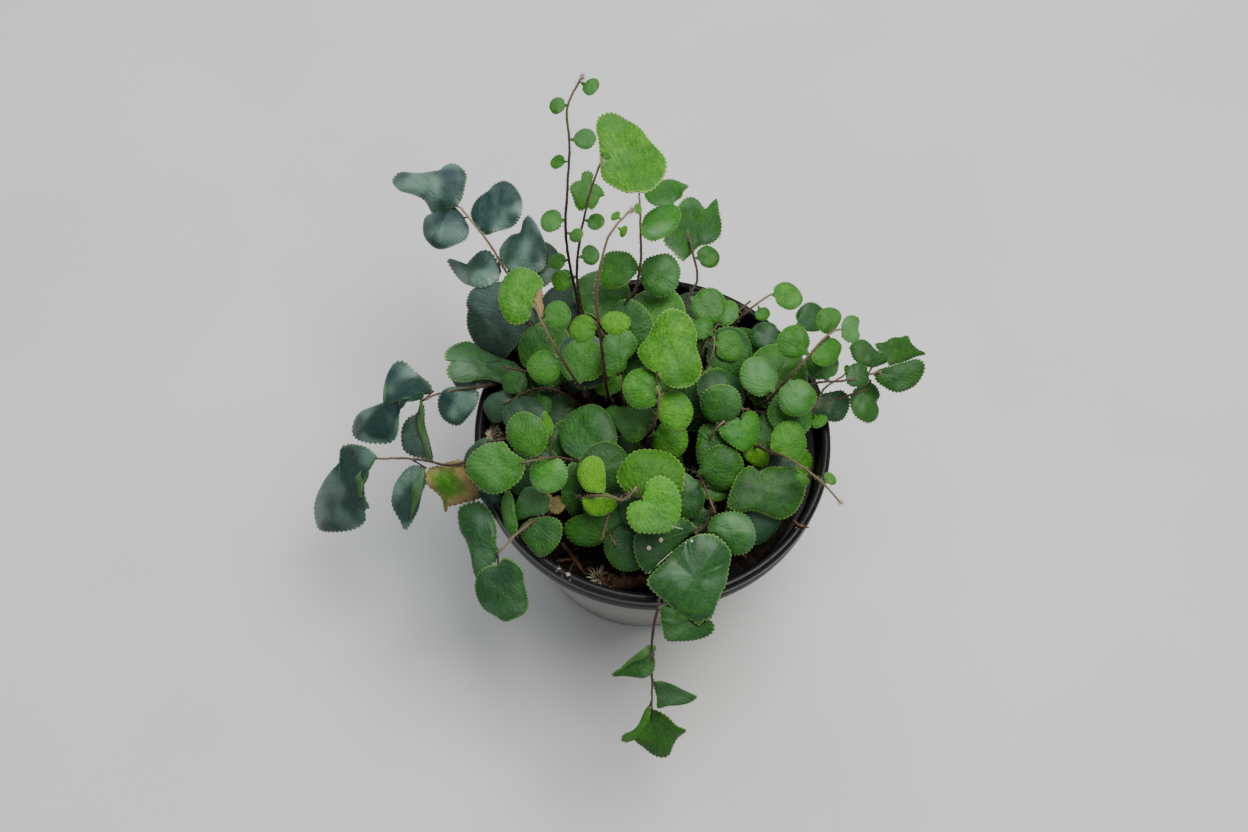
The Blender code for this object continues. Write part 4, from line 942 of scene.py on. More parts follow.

# %% [markdown]
# ## Outlines seen in the photograph
#
# The formula makes a fair leaflet, but the conspicuous ones have shapes of their own: hearts, wavy lobes,
# saddles that hang over their stalk. Each was read at about a dozen points of the photograph, clockwise
# from the stalk. A line from the camera through each point is followed to the bent plane that the
# solid's leaflet lies in, so the outline is right in this view and the leaflet stays where the solid has it.
# Some edges have rolled over and show their pale underside: these rolls are outlines too, given a second
# time as narrow blades that lie on the first.

# %% Outlines, as points of the 1248 x 832 photograph
OUTLINES = {
    "back_broad_tip": {
        0: "639,193 626,192 612,185 602,176 600,160 599,143 596,128 599,116 609,111 617,113 627,119 "
        "640,128 649,140 659,150 666,160 664,174 656,187 646,193",
        1: "641,226 645,214 652,208 662,204 672,202 679,206 681,213 678,222 672,230 662,236 652,239 643,235",
        2: "639,268 633,276 625,284 612,288 602,285 598,275 600,262 604,254 613,250 627,252 635,259",
        3: "640,268 645,258 656,254 668,253 676,259 680,270 678,282 672,291 660,296 648,291 641,280"},
    "back_middle": {
        1: "587,207 581,210 576,206 573,197 570,188 575,181 581,179 582,172 588,170 593,174 592,181 "
        "600,186 604,194 600,196 597,203 592,209"},
    "back_right": {
        0: "655,205 648,200 645,193 652,184 660,180 672,178 683,181 689,184 684,189 682,195 676,200 668,204",
        1: "683,262 672,250 664,238 672,222 680,203 690,197 699,200 707,207 713,201 718,198 719,213 "
        "722,226 720,236 710,243 699,246 690,255"},
    "back_left_dark": {
        0: "457,206 441,209 430,210 422,198 412,193 399,190 391,180 394,172 400,169 420,171 439,170 "
        "446,164 453,162 461,167 464,177 462,192",
        1: "464,217 467,227 463,236 450,243 436,246 427,240 421,229 423,216 430,211 440,206 450,203 457,208",
        2: "478,227 471,218 470,208 476,199 488,190 494,184 503,180 512,184 519,194 522,205 520,217 "
        "512,225 500,229 489,234 482,233",
        3: "500,259 497,250 500,240 508,231 518,228 522,218 527,213 534,221 541,236 545,250 542,264 "
        "530,269 515,268 505,266",
        4: "500,270 490,282 475,285 462,280 452,270 445,257 453,259 462,262 467,256 476,249 486,248 493,255"},
    "left_dark_inner": {
        0: "526,323 522,334 513,347 503,358 490,359 480,351 471,339 466,325 467,308 475,298 490,294 "
        "508,300 520,311",
        1: "524,322 505,325 480,322 467,308 466,300 470,290 480,284 495,281 510,284 522,300"},
    "left_inner": {
        0: "526,374 520,385 505,384 483,378 468,380 452,378 447,369 451,362 445,360 447,350 458,342 "
        "471,340 484,350 500,358 515,362"},
    "left_arching": {
        0: "532,308 527,317 517,322 507,320 501,311 497,296 499,283 506,272 517,266 530,268 540,277 "
        "541,285 536,296"},
    "left_dark_upper": {
        0: "432,392 418,393 405,399 396,410 390,438 375,443 358,440 350,430 353,413 371,405 385,399 "
        "386,378 391,363 400,360 411,370 427,382",
        1: "421,400 424,410 424,424 428,442 432,460 420,458 408,454 401,447 401,430 407,418 416,412",
        2: "474,388 478,393 477,403 470,413 462,422 455,425 447,422 440,415 437,404 440,393 449,387 462,387"},
    "left_dark_lower": {
        0: "377,457 370,469 365,482 364,497 367,507 362,510 362,521 353,529 336,532 318,529 311,512 "
        "313,497 322,483 333,470 340,461 340,447 348,444 362,446 373,452",
        1: "424,467 425,480 419,498 413,514 409,523 404,530 399,521 391,508 389,499 393,485 399,476 "
        "407,467 415,465",
        2: "450,462 460,461 464,473 473,484 476,499 460,504 447,507 442,514 440,502 430,491 424,476 "
        "426,470 438,466",
        3: "491,460 488,472 478,480 468,477 463,466 466,452 474,443 485,438 494,441 498,450"},
    "front_left_over_rim": {
        0: "498,565 504,558 514,561 522,570 524,586 528,604 525,613 514,619 504,622 495,617 483,609 "
        "476,595 475,582 480,571 490,566",
        1: "498,550 495,560 487,567 476,579 471,570 470,557 463,541 457,530 457,510 465,504 477,502 "
        "485,509 491,519 495,533 495,545",
        2: "530,519 545,517 556,519 561,526 559,540 552,550 541,557 533,553 525,543 519,532 522,525",
        3: "543,515 530,517 517,520 515,510 518,499 525,489 538,488 548,496 551,507"},
    "front_dark_tip": {
        0: "698,534 714,534 725,542 732,553 730,568 727,583 719,599 712,617 704,621 699,625 692,620 "
        "681,615 667,602 654,592 647,582 655,571 667,560 680,545",
        1: "699,529 682,543 668,557 652,574 644,570 638,560 635,545 638,534 650,524 668,518 686,519",
        2: "707,531 711,519 722,513 736,512 747,516 754,527 755,541 748,552 736,555 730,551 722,539"},
    "front_trailing": {
        0: "650,709 658,713 668,718 677,727 686,733 677,741 672,749 669,756 662,759 652,757 643,750 "
        "634,740 643,731 648,720",
        1: "650,706 650,715 647,727 642,735 634,740 626,743 622,741 624,736 632,732 639,725 643,717 647,709",
        2: "653,681 662,682 673,685 684,690 693,695 697,698 690,703 680,705 668,706 659,709 657,707 "
        "657,699 655,690",
        3: "654,655 655,665 652,674 645,678 634,678 622,677 612,676 616,671 626,667 632,660 640,652 "
        "648,646 655,646",
        4: "660,606 672,606 685,612 698,617 710,620 715,627 710,635 696,640 680,641 667,640 663,628",
        5: "660,584 668,592 678,594 688,589 690,579 682,572 670,573 662,578"},
    "front_middle": {
        0: "642,499 645,491 647,483 653,478 661,476 669,479 676,486 681,498 681,511 678,521 671,530 "
        "661,533 646,533 636,531 629,523 627,512 631,504 638,501",
        1: "640,498 631,495 621,487 616,478 618,468 625,459 635,451 648,449 663,451 676,458 684,470 "
        "684,482 680,492 665,490 650,492",
        2: "600,492 608,494 614,499 616,505 611,511 603,515 592,515 586,511 582,503 584,497 592,494",
        3: "598,493 587,491 580,483 577,474 580,465 585,459 592,456 600,459 604,467 605,480 604,491",
        4: "581,500 583,510 580,517 573,516 567,508 564,498 563,486 565,475 570,466 577,463 584,468 "
        "586,478 584,490"},
    "front_short": {
        0: "612,533 620,527 634,530 642,540 642,560 640,568 628,571 616,568 608,559 604,548 606,538",
        1: "607,538 600,544 590,547 578,546 569,541 563,532 564,525 571,519 585,514 600,507 614,501 "
        "626,501 628,510 625,520 616,530"},
    "right_front": {
        0: "760,473 768,467 783,466 797,467 805,477 806,489 801,504 795,512 787,517 779,518 768,514 "
        "752,510 740,512 730,508 728,502 732,488 737,476 746,467 754,466",
        1: "731,489 728,495 722,499 711,499 703,495 701,490 706,483 714,479 722,478 730,481"},
    "right_middle": {
        0: "741,419 744,413 752,410 758,414 760,422 760,434 757,441 748,449 742,450 733,445 725,438 "
        "720,430 721,422 727,416 734,415",
        1: "722,424 712,423 704,415 701,404 704,394 711,388 721,386 732,388 740,396 741,409 738,417 730,423",
        2: "741,454 735,459 729,467 719,471 707,473 700,466 697,452 698,440 701,428 709,424 722,428 732,440"},
    "right_runner": {
        2: "771,449 772,438 776,428 784,422 794,421 802,427 807,440 806,450 800,459 795,462 783,456",
        3: "767,449 770,455 768,463 762,467 754,464 746,458 743,450 745,441 751,436 758,437 764,443"},
    "right_long": {
        0: "889,366 884,356 876,344 885,342 892,338 901,337 909,335 913,343 919,350 926,354 917,356 905,361",
        1: "880,369 892,366 906,362 918,359 925,364 924,373 917,384 907,390 896,392 885,387 876,380 875,372",
        2: "872,368 861,363 855,358 852,350 851,346 857,340 864,339 870,342 877,349 885,355 889,361 880,365",
        3: "868,374 870,380 864,385 853,386 847,381 848,371 853,364 861,363 867,367"},
    "right_low": {
        0: "871,381 878,385 882,393 879,401 881,409 878,418 869,422 860,417 854,408 852,399 856,389 864,384",
        1: "831,392 842,390 849,395 851,403 848,413 842,420 832,421 823,417 812,415 808,408 814,400 822,394"},
    "right_upper": {
        0: "841,331 843,322 848,316 856,316 860,320 858,329 860,336 856,341 849,342 843,338",
        1: "831,334 823,331 819,322 820,313 826,308 834,307 841,311 842,319 837,328",
        2: "829,337 836,338 842,344 841,352 837,360 828,365 819,364 813,356 817,348 822,342"},
    "left_front": {
        0: "525,461 520,476 511,486 499,492 486,492 474,484 466,474 465,463 471,452 482,444 494,442 "
        "503,442 509,450 517,456",
        1: "536,457 524,455 514,449 508,441 506,430 510,420 516,414 524,412 533,415 541,421 547,431 "
        "547,441 543,450",
        2: "553,457 561,460 566,468 567,477 562,487 553,492 543,492 535,488 530,479 531,468 537,461 545,458",
        3: "582,460 571,456 563,449 559,437 562,424 567,415 576,408 588,404 599,406 608,414 614,426 "
        "616,440 610,451 598,458"},
    "middle_left": {
        0: "511,405 507,415 499,421 491,421 484,413 483,403 488,395 497,391 508,390"},
    "middle_broad_tip": {
        0: "657,373 646,366 638,354 639,346 647,337 653,325 660,314 669,308 678,309 687,313 694,324 "
        "697,335 696,346 700,358 702,369 697,380 687,386 674,387 664,381",
        1: "660,392 657,402 649,407 638,408 629,403 624,394 623,384 628,374 636,369 646,368 655,372 660,381",
        2: "658,410 660,400 665,393 675,390 684,394 690,401 693,411 690,422 684,428 674,430 664,424 659,417",
        3: "646,432 640,440 630,441 622,434 617,424 620,413 628,406 645,406 654,410 656,420"},
    "middle_short": {
        0: "603,362 602,348 606,336 617,334 628,331 633,335 637,343 634,352 627,360 625,369 616,374 606,375"},
    "front_arching": {
        3: "600,322 604,315 611,311 621,312 629,317 630,324 624,331 615,334 606,331"},
}
ROLLS = {
    "left_dark_lower": {
        0: "377,457 371,465 366,476 364,487 364,497 358,496 354,491 356,482 361,473 368,464",
        1: "424,467 425,480 419,498 413,514 411,520 411,505 413,490 418,477"},
    "left_dark_upper": {
        0: "425,393 412,394 404,400 398,408 405,404 415,401 424,398",
        1: "421,400 424,410 424,424 428,442 432,460 426,458 421,440 418,424 419,412"},
    "front_trailing": {
        3: "656,646 655,650 645,657 634,662 626,668 616,672 612,675 620,669 632,658 640,651 648,645"},
}
print("outlines read:", sum(map(len, OUTLINES.values())), "- rolls:", sum(map(len, ROLLS.values())))

# %% From the photograph to the leaflet's plane
PHOTO_WIDTH, PHOTO_HEIGHT = 1248, 832
FOCAL = CAMERA_LENS / CAMERA_SENSOR * PHOTO_WIDTH


def points_of(outline):
    """The pixels of an outline that is written as text."""
    return [tuple(float(number) for number in pair.split(",")) for pair in outline.split()]


def ray_through(pixel):
    """The way from the camera to a pixel of the photograph."""
    return (forward * FOCAL + screen_right * (pixel[0] - PHOTO_WIDTH / 2)
            + screen_up * (PHOTO_HEIGHT / 2 - pixel[1]))


def cast_on(leaf, pixel):
    """The point (x, y) of the leaflet's own frame that the camera sees at a pixel of the photograph."""
    ray = ray_through(pixel)
    normal = leaf.axes.col[2]
    height = 0.0
    for _ in range(5):
        travel = ((leaf.base - CAMERA_PLACE).dot(normal) + height) / ray.dot(normal)
        spot = leaf.axes.transposed() @ (CAMERA_PLACE + ray * travel - leaf.base)
        height = leaf.height_at(spot.x, spot.y)
    return spot.x, spot.y


def closed_curve(corners, steps=10):
    """A smooth closed line through the corners, as an array, with a corner kept at the first."""
    count, fine = len(corners), []
    corners = np.array(corners)
    for index in range(count):
        a, b, c, d = (corners[(index + shift) % count] for shift in (-1, 0, 1, 2))
        if index == 0:
            a = b
        if index == count - 1:
            d = c
        fine += [curve_point(a, b, c, d, step / steps) for step in range(steps)]
    return np.array(fine)


class Outline:
    """A leaflet's seen outline in its own frame: its middle, and its edge by the share of the way round."""

    def __init__(self, leaf, text):
        self.edge = closed_curve([cast_on(leaf, pixel) for pixel in points_of(text)])
        around = np.vstack([self.edge, self.edge[:1]])
        self.run = np.concatenate([[0], np.cumsum(np.hypot(*np.diff(around, axis=0).T))])
        self.around = around
        # the middle and the size of the outline come from the triangles between its edge and the origin
        crosses = around[:-1, 0] * around[1:, 1] - around[1:, 0] * around[:-1, 1]
        self.middle = ((around[:-1] + around[1:]) * crosses[:, None]).sum(axis=0) / (3 * crosses.sum())
        self.half = math.sqrt(abs(crosses.sum()) / 2 / math.pi)

    def at(self, angle):
        """The edge at angles of the blank: the stalk is at pi, and the tip near 0."""
        share = (angle + math.pi) / (2 * math.pi) * self.run[-1]
        return np.stack([np.interp(share, self.run, self.around[:, side]) for side in (0, 1)], axis=-1)


# %% [markdown]
# Six slight leaflets aren't in the solid: a dead one, two withered ones, two folded green ones and a dark
# one at the left. They are added to their fronds here, and then every outline is laid on its leaflet.

# %% Slight leaflets, and every outline laid on its leaflet
# Leaflets that the solid leaves out: frond, percent along, bearing, length, width, form, tone, coolness and
# outline
SLIGHT = [
    ("left_arching", 89, 95, 12, 4, "dead", 0.5, 0.0,
     "541,319 537,311 534,301 536,294 541,287 542,299 543,311"),
    ("left_front", 82, 95, 9, 4, "long", 0.9, 0.1,
     "551,436 546,431 543,421 544,411 549,417 553,426"),
    ("front_left_over_rim", 49, 100, 8, 5, "dying", 0.5, 0.8,
     "543,511 536,507 535,499 541,494 549,494 553,499 551,507"),
    ("front_left_over_rim", 45, 60, 8, 5, "dying", 0.5, 0.6,
     "551,513 548,506 553,498 560,496 566,502 564,509 558,514"),
    ("left_dark_lower", 31, -75, 16, 10, "long", 0.16, 0.9,
     "484,468 492,477 498,490 500,505 497,519 490,513 482,501 474,491 471,481 475,471"),
    ("front_left_over_rim", 76, 105, 16, 8, "long", 0.5, 0.2,
     "513,537 507,531 503,521 501,508 503,496 508,491 513,501 515,515 517,528"),
]
for name, percent, bearing, length, width, form, tone, cool, text in SLIGHT:
    frond = next(row for row in fronds if row[0] == name)
    frond[3].append(Leaf(frond[2], percent / 100, bearing, length, width, form, Vector((0, 0, 0))))
    frond[3][-1].colour = tone, cool
    OUTLINES.setdefault(name, {})[len(frond[3]) - 1] = text

# An outline that reaches further than this many times the leaflet's size shows that it hangs too steeply. The
# tip at the back left has less leave, so that it stays inside the solid's box.
STEEP = 1.35
STEEP_HERE = {("back_left_dark", 0): 1.0}
TURN_TRIES, TURN_SHARE = 8, 0.15


def fitted_outline(leaf, text, steep):
    """The leaflet's outline. One that hangs too steeply to be seen this large is turned up at its stalk."""
    outline = Outline(leaf, text)
    for _ in range(TURN_TRIES):
        if np.hypot(*outline.edge.T).max() < steep * max(leaf.length, leaf.width):
            break
        turn = leaf.axes.col[2].rotation_difference(-forward)
        leaf.axes = Quaternion().slerp(turn, TURN_SHARE).to_matrix() @ leaf.axes
        outline = Outline(leaf, text)
    return outline


for name, _, _, leaves in fronds:
    for index, text in OUTLINES.get(name, {}).items():
        leaves[index].outline = fitted_outline(leaves[index], text, STEEP_HERE.get((name, index), STEEP))
    for index, text in ROLLS.get(name, {}).items():
        leaves[index].roll = Outline(leaves[index], text)
print("outlines fitted:", sum(leaf.outline is not None for frond in fronds for leaf in frond[3]))

# %% [markdown]
# ## Stems
#
# A button fern's stem is a wire about a millimetre thick: dark red-brown and almost bare when old,
# tan and shaggy with pale scales when young. The stem could be an extruded circle, but a curve with a round
# bevel keeps its thickness through every bend, so the route is drawn as a curve with a radius at each point
# and then made a mesh. Leaflets whose outline starts a little away from the stem get a short stalk to it.

# %% Stems: fine wires from curves
FINE_STEP = 2.2
OLD_STEM = 0.5
YOUNG_STEM = 0.3
STEM_WANDER = 0.09
PETIOLE_UNDER = 0.35
PETIOLE_SHORTEST, PETIOLE_LONGEST = 0.6, 9.0
PETIOLE_SHARES, PETIOLE_RADII = (0, 0.35, 0.7, 1.12), (0.34, 0.26, 0.26, 0.3)


def wire(name, points, radii, roundness=2):
    """A round wire through points in millimetres, with a radius at each, as a closed mesh."""
    bpy.ops.object.select_all(action="DESELECT")
    bpy.ops.curve.primitive_nurbs_path_add()
    obj = just_made(name)
    obj.data.splines.clear()
    spline = obj.data.splines.new("POLY")
    spline.points.add(len(points) - 1)
    for corner, place, radius in zip(spline.points, points, radii):
        corner.co, corner.radius = (*(place * MM), 1), radius
    obj.data.bevel_depth, obj.data.bevel_resolution, obj.data.use_fill_caps = MM, roundness, True
    obj.location = (0, 0, 0)
    bpy.ops.object.convert(target="MESH")
    obj = bpy.context.object
    outward(obj)
    return obj


def wandering(points, dice, most):
    """The points with a slight wander, as a real stem has between its leaves."""
    moved = []
    for index, point in enumerate(points):
        size = most * min(1.0, index / 4)
        moved.append(point + Vector((dice.uniform(-size, size), dice.uniform(-size, size),
                                     dice.uniform(-size, size))))
    return moved


def set_look(obj, values):
    """Keeps four numbers on each corner of the mesh for its material: one row for all, or a row for each."""
    look = obj.data.attributes.get("look") or obj.data.attributes.new("look", "FLOAT_COLOR", "POINT")
    rows = np.broadcast_to(np.asarray(values, np.float32), (len(obj.data.vertices), 4))
    look.data.foreach_set("color", rows.ravel())


def stem_wire(name, tone, stem, dice):
    """The stem of a frond, thick at the soil and thin at the tip, with its youth kept for the material."""
    count = max(8, round(stem.length / FINE_STEP))
    fine = wandering(smooth_points(stem.corners, count), dice, STEM_WANDER)
    root = Vector((fine[0].x, fine[0].y, SOIL_TOP - HOLE_DEPTH + FOOT_GAP))
    points = [root] + fine
    radii = [OLD_STEM] + [OLD_STEM + (YOUNG_STEM - OLD_STEM) * index / count
                         for index in range(count + 1)]
    radii = [radius * dice.uniform(0.92, 1.08) for radius in radii]
    obj = wire("stem_" + name, points, radii)
    heights = np.linspace(0, 1, len(points))
    tree = tree_of([point * MM for point in points])
    chance = dice.random()
    set_look(obj, [(chance, tone, heights[tree.find(vertex.co)[1]], 0) for vertex in obj.data.vertices])
    return obj, points


def petioles(stem_piece, leaves, dice):
    """The short stalks from the stem to the leaflets whose outline starts a little away from it."""
    wires = []
    for leaf in leaves:
        if leaf.outline:
            x, y = leaf.outline.edge[0]
            start = leaf.base - leaf.axes.col[2] * PETIOLE_UNDER
            end = Vector(leaf.world(np.array([[x, y, leaf.height_at(x, y) - PETIOLE_UNDER]]))[0])
            if PETIOLE_SHORTEST < (end - start).length < PETIOLE_LONGEST:
                stalk = [start.lerp(end, share) for share in PETIOLE_SHARES]
                wires.append(wire("petiole", stalk, PETIOLE_RADII, 1))
                set_look(wires[-1], (dice.random(), 0.4, 0.6, 0.0))
    if wires:
        joined_into(stem_piece, wires)


# Fronds whose stems are paler than their leaves would have it
STEM_TONES = {"back_left_dark": 1.0, "left_dark_upper": 0.85, "left_dark_lower": 0.8,
              "front_left_over_rim": 0.95}
dice = random.Random(SEED)
stem_pieces, stem_lines = {}, {}
for name, tone, stem, _ in fronds:
    stem_pieces[name], stem_lines[name] = stem_wire(name, STEM_TONES.get(name, tone), stem, dice)
print("stems drawn:", len(stem_pieces), "- faces:", faces_in(*stem_pieces.values()))

# %% [markdown]
# The hairs are narrow scales that stand off the stem and lean towards its tip. They are far too many to
# model one by one, so one is modelled, a three-sided spike bent once, and copied along every stem: densely
# on young stems, thinly on old ones. Each copy is turned about the stem by chance.

# %% Stems: one hair, copied
HAIR_LENGTH = 1.3
HAIR_WIDTH = 0.09
HAIR_BEND = 0.12
HAIRS_PER_MM = 3.4
ANY_TURN = 6.3


def spike(name, length, width, bend):
    """A three-sided spike along Z from the origin, bent to one side half-way, as blank for hairs."""
    bpy.ops.object.select_all(action="DESELECT")
    bpy.ops.mesh.primitive_circle_add(vertices=3, radius=width / 2 * MM, fill_type="NGON")
    obj = just_made(name)
    edit(obj)
    half = {"value": (bend * MM, 0, length * 0.5 * MM)}
    for narrow in (0.75, 0.15):
        bpy.ops.mesh.extrude_region_move(TRANSFORM_OT_translate=half)
        bpy.ops.transform.resize(value=(narrow, narrow, 1))
    object_mode()
    outward(obj)
    return obj


def copied(name, blank, matrices, looks):
    """One mesh that holds a copy of the blank at each matrix, each with its own look."""
    corners = np.array([vertex.co for vertex in blank.data.vertices])
    faces = [tuple(face.vertices) for face in blank.data.polygons]
    all_corners, all_faces = [], []
    for number, matrix in enumerate(matrices):
        turn = np.array(matrix)
        all_corners.append(corners @ turn[:3, :3].T + turn[:3, 3])
        all_faces += [tuple(corner + number * len(corners) for corner in face) for face in faces]
    mesh = bpy.data.meshes.new(name)
    mesh.from_pydata(np.concatenate(all_corners).tolist(), [], all_faces)
    obj = bpy.data.objects.new(name, mesh)
    bpy.context.collection.objects.link(obj)
    set_look(obj, np.repeat(np.array(looks, float), len(corners), axis=0))
    return obj


def frame_at(point, along, turn, size):
    """A matrix that puts a blank at a point in millimetres, its Z along a direction, turned and sized."""
    upright = along.to_track_quat("Z", "Y").to_matrix().to_4x4()
    return (Matrix.Translation(point * MM) @ upright @ Matrix.Rotation(turn, 4, "Z")
            @ Matrix.Diagonal((*size, 1)))


def hairs_on(tone, points, dice, blank):
    """Hairs along a stem's line: many where it is young, and leaning towards its tip."""
    matrices, looks = [], []
    for index, (first, second) in enumerate(zip(points[1:], points[2:])):
        share = index / max(1, len(points) - 3)
        young = min(1.0, 0.10 + 0.75 * max(0.0, tone - 0.35) + 0.5 * share * tone)
        travel = second - first
        for _ in range(round(travel.length * HAIRS_PER_MM * young + dice.random())):
            side = Matrix.Rotation(dice.uniform(0, 2 * math.pi), 3, travel.normalized()) @ travel.orthogonal()
            lean = (side.normalized() + travel.normalized() * dice.uniform(0.2, 1.1)).normalized()
            start = first.lerp(second, dice.random()) + side.normalized() * 0.3
            size = dice.uniform(0.5, 1.15)
            matrices.append(frame_at(start, lean, dice.uniform(0, ANY_TURN), (1, 1, size)))
            looks.append((dice.random(), tone, share, 1))
    return copied("hairs", blank, matrices, looks) if matrices else None


hair = spike("hair", HAIR_LENGTH, HAIR_WIDTH, HAIR_BEND)
dice = random.Random(SEED + 1)
for name, tone, _, leaves in fronds:
    petioles(stem_pieces[name], leaves, dice)
    hairs = hairs_on(STEM_TONES.get(name, tone), stem_lines[name], dice, hair)
    if hairs:
        joined_into(stem_pieces[name], [hairs])
deleted(hair)
print("faces with hairs:", faces_in(*stem_pieces.values()))

# %% [markdown]
# The stem's colour runs from dark red-brown at the soil to tan at a young tip, by the youth kept on its
# corners. Fine noise breaks it up, and the hairs are paler than the stem that they stand on.

# %% Stems: wiry bark and pale hairs
STEM_DARK, STEM_RED = (0.010, 0.006, 0.005), (0.042, 0.019, 0.012)
STEM_TAN, HAIR_PALE = (0.21, 0.165, 0.085), (0.42, 0.37, 0.26)

paint = Paint("fern stem", Specular_IOR_Level=0.35)
chance, tone, youth, is_hair = paint.look()
streaks = paint.noise(0.7, 4)
bark = paint.mix(STEM_DARK, STEM_RED, (streaks + chance * 0.3 + youth * 0.3).between(0.45, 1.0))
young = (youth * 0.9 + tone * 0.6).between(0.95, 1.55)
bark = paint.mix(bark, STEM_TAN, young)
paint.feed("Base Color", paint.mix(bark, HAIR_PALE, is_hair * (0.35 + tone * 0.6)))
paint.feed("Roughness", 0.45 + streaks * 0.25)
paint.feed("Normal", paint.bump(streaks, 0.06))
for name, obj in stem_pieces.items():
    painted(obj, paint.material)
    alone(obj)
    bpy.ops.object.shade_smooth()
    finish_piece(obj, "brown_stem", "frond_" + name)
print("stems finished:", len(stem_pieces))

# %% [markdown]
# ## Leaflets
#
# Every leaflet is the same thing in another size: a round leathery disc with a finely scalloped margin, a
# small notch at its stalk, and veins that fan out from there. So one blank disc is modelled for each of
# three sizes, by insetting a filled circle into rings and poking its middle, and every leaflet is a copy of
# a blank with its own mesh. The rings lie close together by the edge, where the scallops and the curl are.

# %% Leaflets: blank discs
BLANKS = {"small": (60, (0.05, 0.13, 0.25, 0.30)), "middle": (108, (0.035, 0.08, 0.17, 0.25, 0.25)),
          "large": (168, (0.025, 0.05, 0.11, 0.19, 0.23, 0.22))}


def leaf_blank(name, sides, insets):
    """A flat disc one unit in radius, in rings, with a map of its own flat plan for the veins."""
    bpy.ops.object.select_all(action="DESELECT")
    bpy.ops.mesh.primitive_circle_add(vertices=sides, radius=1, fill_type="NGON")
    obj = just_made(name)
    edit(obj)
    for thickness in insets:
        bpy.ops.mesh.inset(thickness=thickness)
    bpy.ops.mesh.poke()
    object_mode()
    chart = obj.data.uv_layers.new(name="leaf")
    for loop in obj.data.loops:
        x, y, _ = obj.data.vertices[loop.vertex_index].co
        chart.data[loop.index].uv = (0.5 + 0.5 * x, 0.5 + 0.5 * y)
    return obj


blanks = {name: leaf_blank(name, *measures) for name, measures in BLANKS.items()}
print("faces of a blank:", {name: faces_in(obj) for name, obj in blanks.items()})

# %% [markdown]
# The blank's points go where the leaflet's formula puts them, and then get what the solid is too coarse to
# hold: three points of the edge make one scallop, slow waves keep it from being a perfect ellipse, the rim
# curls under by up to a millimetre, and the blade quilts and pleats softly between its veins. A leaflet with
# an outline from the photograph takes that instead of the formula's. Last, Solidify gives the sheet of faces
# the thickness of a leaf.

# %% Leaflets: copies with their own shapes
LEAF_THICK = 0.38
SCALLOP = 0.5
RIM_CURL = 0.9
QUILT = 0.3
PLEAT = 0.22
PLAIN_PLEATS, DEEP_PLEATS = (1.0, 9), (1.3, 34)
DOME = (-0.05, 0.16)
ROLL_LIFT = 0.7


def leaf_copy(leaf, tone, cool, age, dice, seen, pleating, lift_by=0.0):
    """A copy of the blank for this leaflet's size, shaped and placed, with its look kept on its corners."""
    half = seen.half if seen else 0.25 * (leaf.length + leaf.width)
    size = "small" if half < 3.7 else "middle" if half < 7.7 else "large"
    blank = blanks[size]
    flat = np.array([vertex.co for vertex in blank.data.vertices])
    angle, reach = np.arctan2(flat[:, 0], flat[:, 1]), np.hypot(flat[:, 0], flat[:, 1])
    phases = [dice.uniform(0, 2 * math.pi) for _ in range(6)]
    edge = 0.016 * np.sin(2 * angle + phases[0]) + 0.014 * np.sin(3 * angle + phases[1])
    edge += 0.010 * np.sin(5 * angle + phases[2]) + age * 0.05 * np.sin(11 * angle + phases[3])
    scallop = np.abs(np.sin(BLANKS[size][0] / 6 * angle)) - 0.65
    stalk = np.exp(-(((math.pi - np.abs(angle)) / 0.2) ** 2))
    teeth = SCALLOP * min(1.0, half / 6) / half * scallop * (1 - stalk)
    if seen:
        teeth = 1 + teeth * reach ** 6
        spot = seen.middle + (seen.at(angle) - seen.middle) * (reach * teeth)[:, None]
        wave = reach ** 2 * np.sin(3 * angle + 5 * leaf.bearing)
        points = np.column_stack([spot, leaf.bent(spot[:, 0], spot[:, 1], wave) + lift_by])
    else:
        points = leaf.shape(angle, reach * (1 + (edge + teeth) * reach ** 6), stalk=0.13)
    quilt = np.sin(points[:, 0] * 1.1 + phases[4]) * np.sin(points[:, 1] * 0.9 + phases[5])
    lift = QUILT * quilt * (1 - reach ** 4) * min(1.0, half / 8)
    lift -= dice.uniform(*DOME) * half * reach ** 2
    lift -= RIM_CURL * min(1.0, half / 7) * np.clip((reach - 0.72) / 0.28, 0, 1) ** 2 * (1 - stalk)
    bearing = np.arctan2(points[:, 0], points[:, 1])
    deeper, pleats = pleating
    pleat = PLEAT * min(1.0, half / 8) * deeper * np.sin(bearing * pleats + phases[4])
    lift += pleat * (1 - stalk) * np.clip(reach, 0, 0.9)
    lift += age * 0.7 * min(1.0, half / 7) * np.sin(7 * angle + phases[3]) * reach ** 3
    points[:, 2] += lift
    obj = blank.copy()
    obj.data = blank.data.copy()
    bpy.context.collection.objects.link(obj)
    obj.data.vertices.foreach_set("co", (leaf.world(points) * MM).astype(np.float32).ravel())
    set_look(obj, (cool, tone, age, 0.0))
    return obj


def thickened(obj, thick):
    """Gives a sheet its thickness, and marks the corners of its underside in the look's last number."""
    alone(obj)
    count = len(obj.data.vertices)
    before = sum(vertex.co.z for vertex in obj.data.vertices)
    solidify = obj.modifiers.new("thickness", "SOLIDIFY")
    solidify.thickness, solidify.offset = thick * MM, 0
    bpy.ops.object.modifier_apply(modifier=solidify.name)
    values = np.zeros(len(obj.data.vertices) * 4, np.float32)
    obj.data.attributes["look"].data.foreach_get("color", values)
    values = values.reshape(-1, 4)
    first_on_top = sum(vertex.co.z for vertex in obj.data.vertices[:count]) > before
    values[:count, 3], values[count:, 3] = (0, 1) if first_on_top else (1, 0)
    set_look(obj, values)
    bpy.ops.object.shade_smooth()
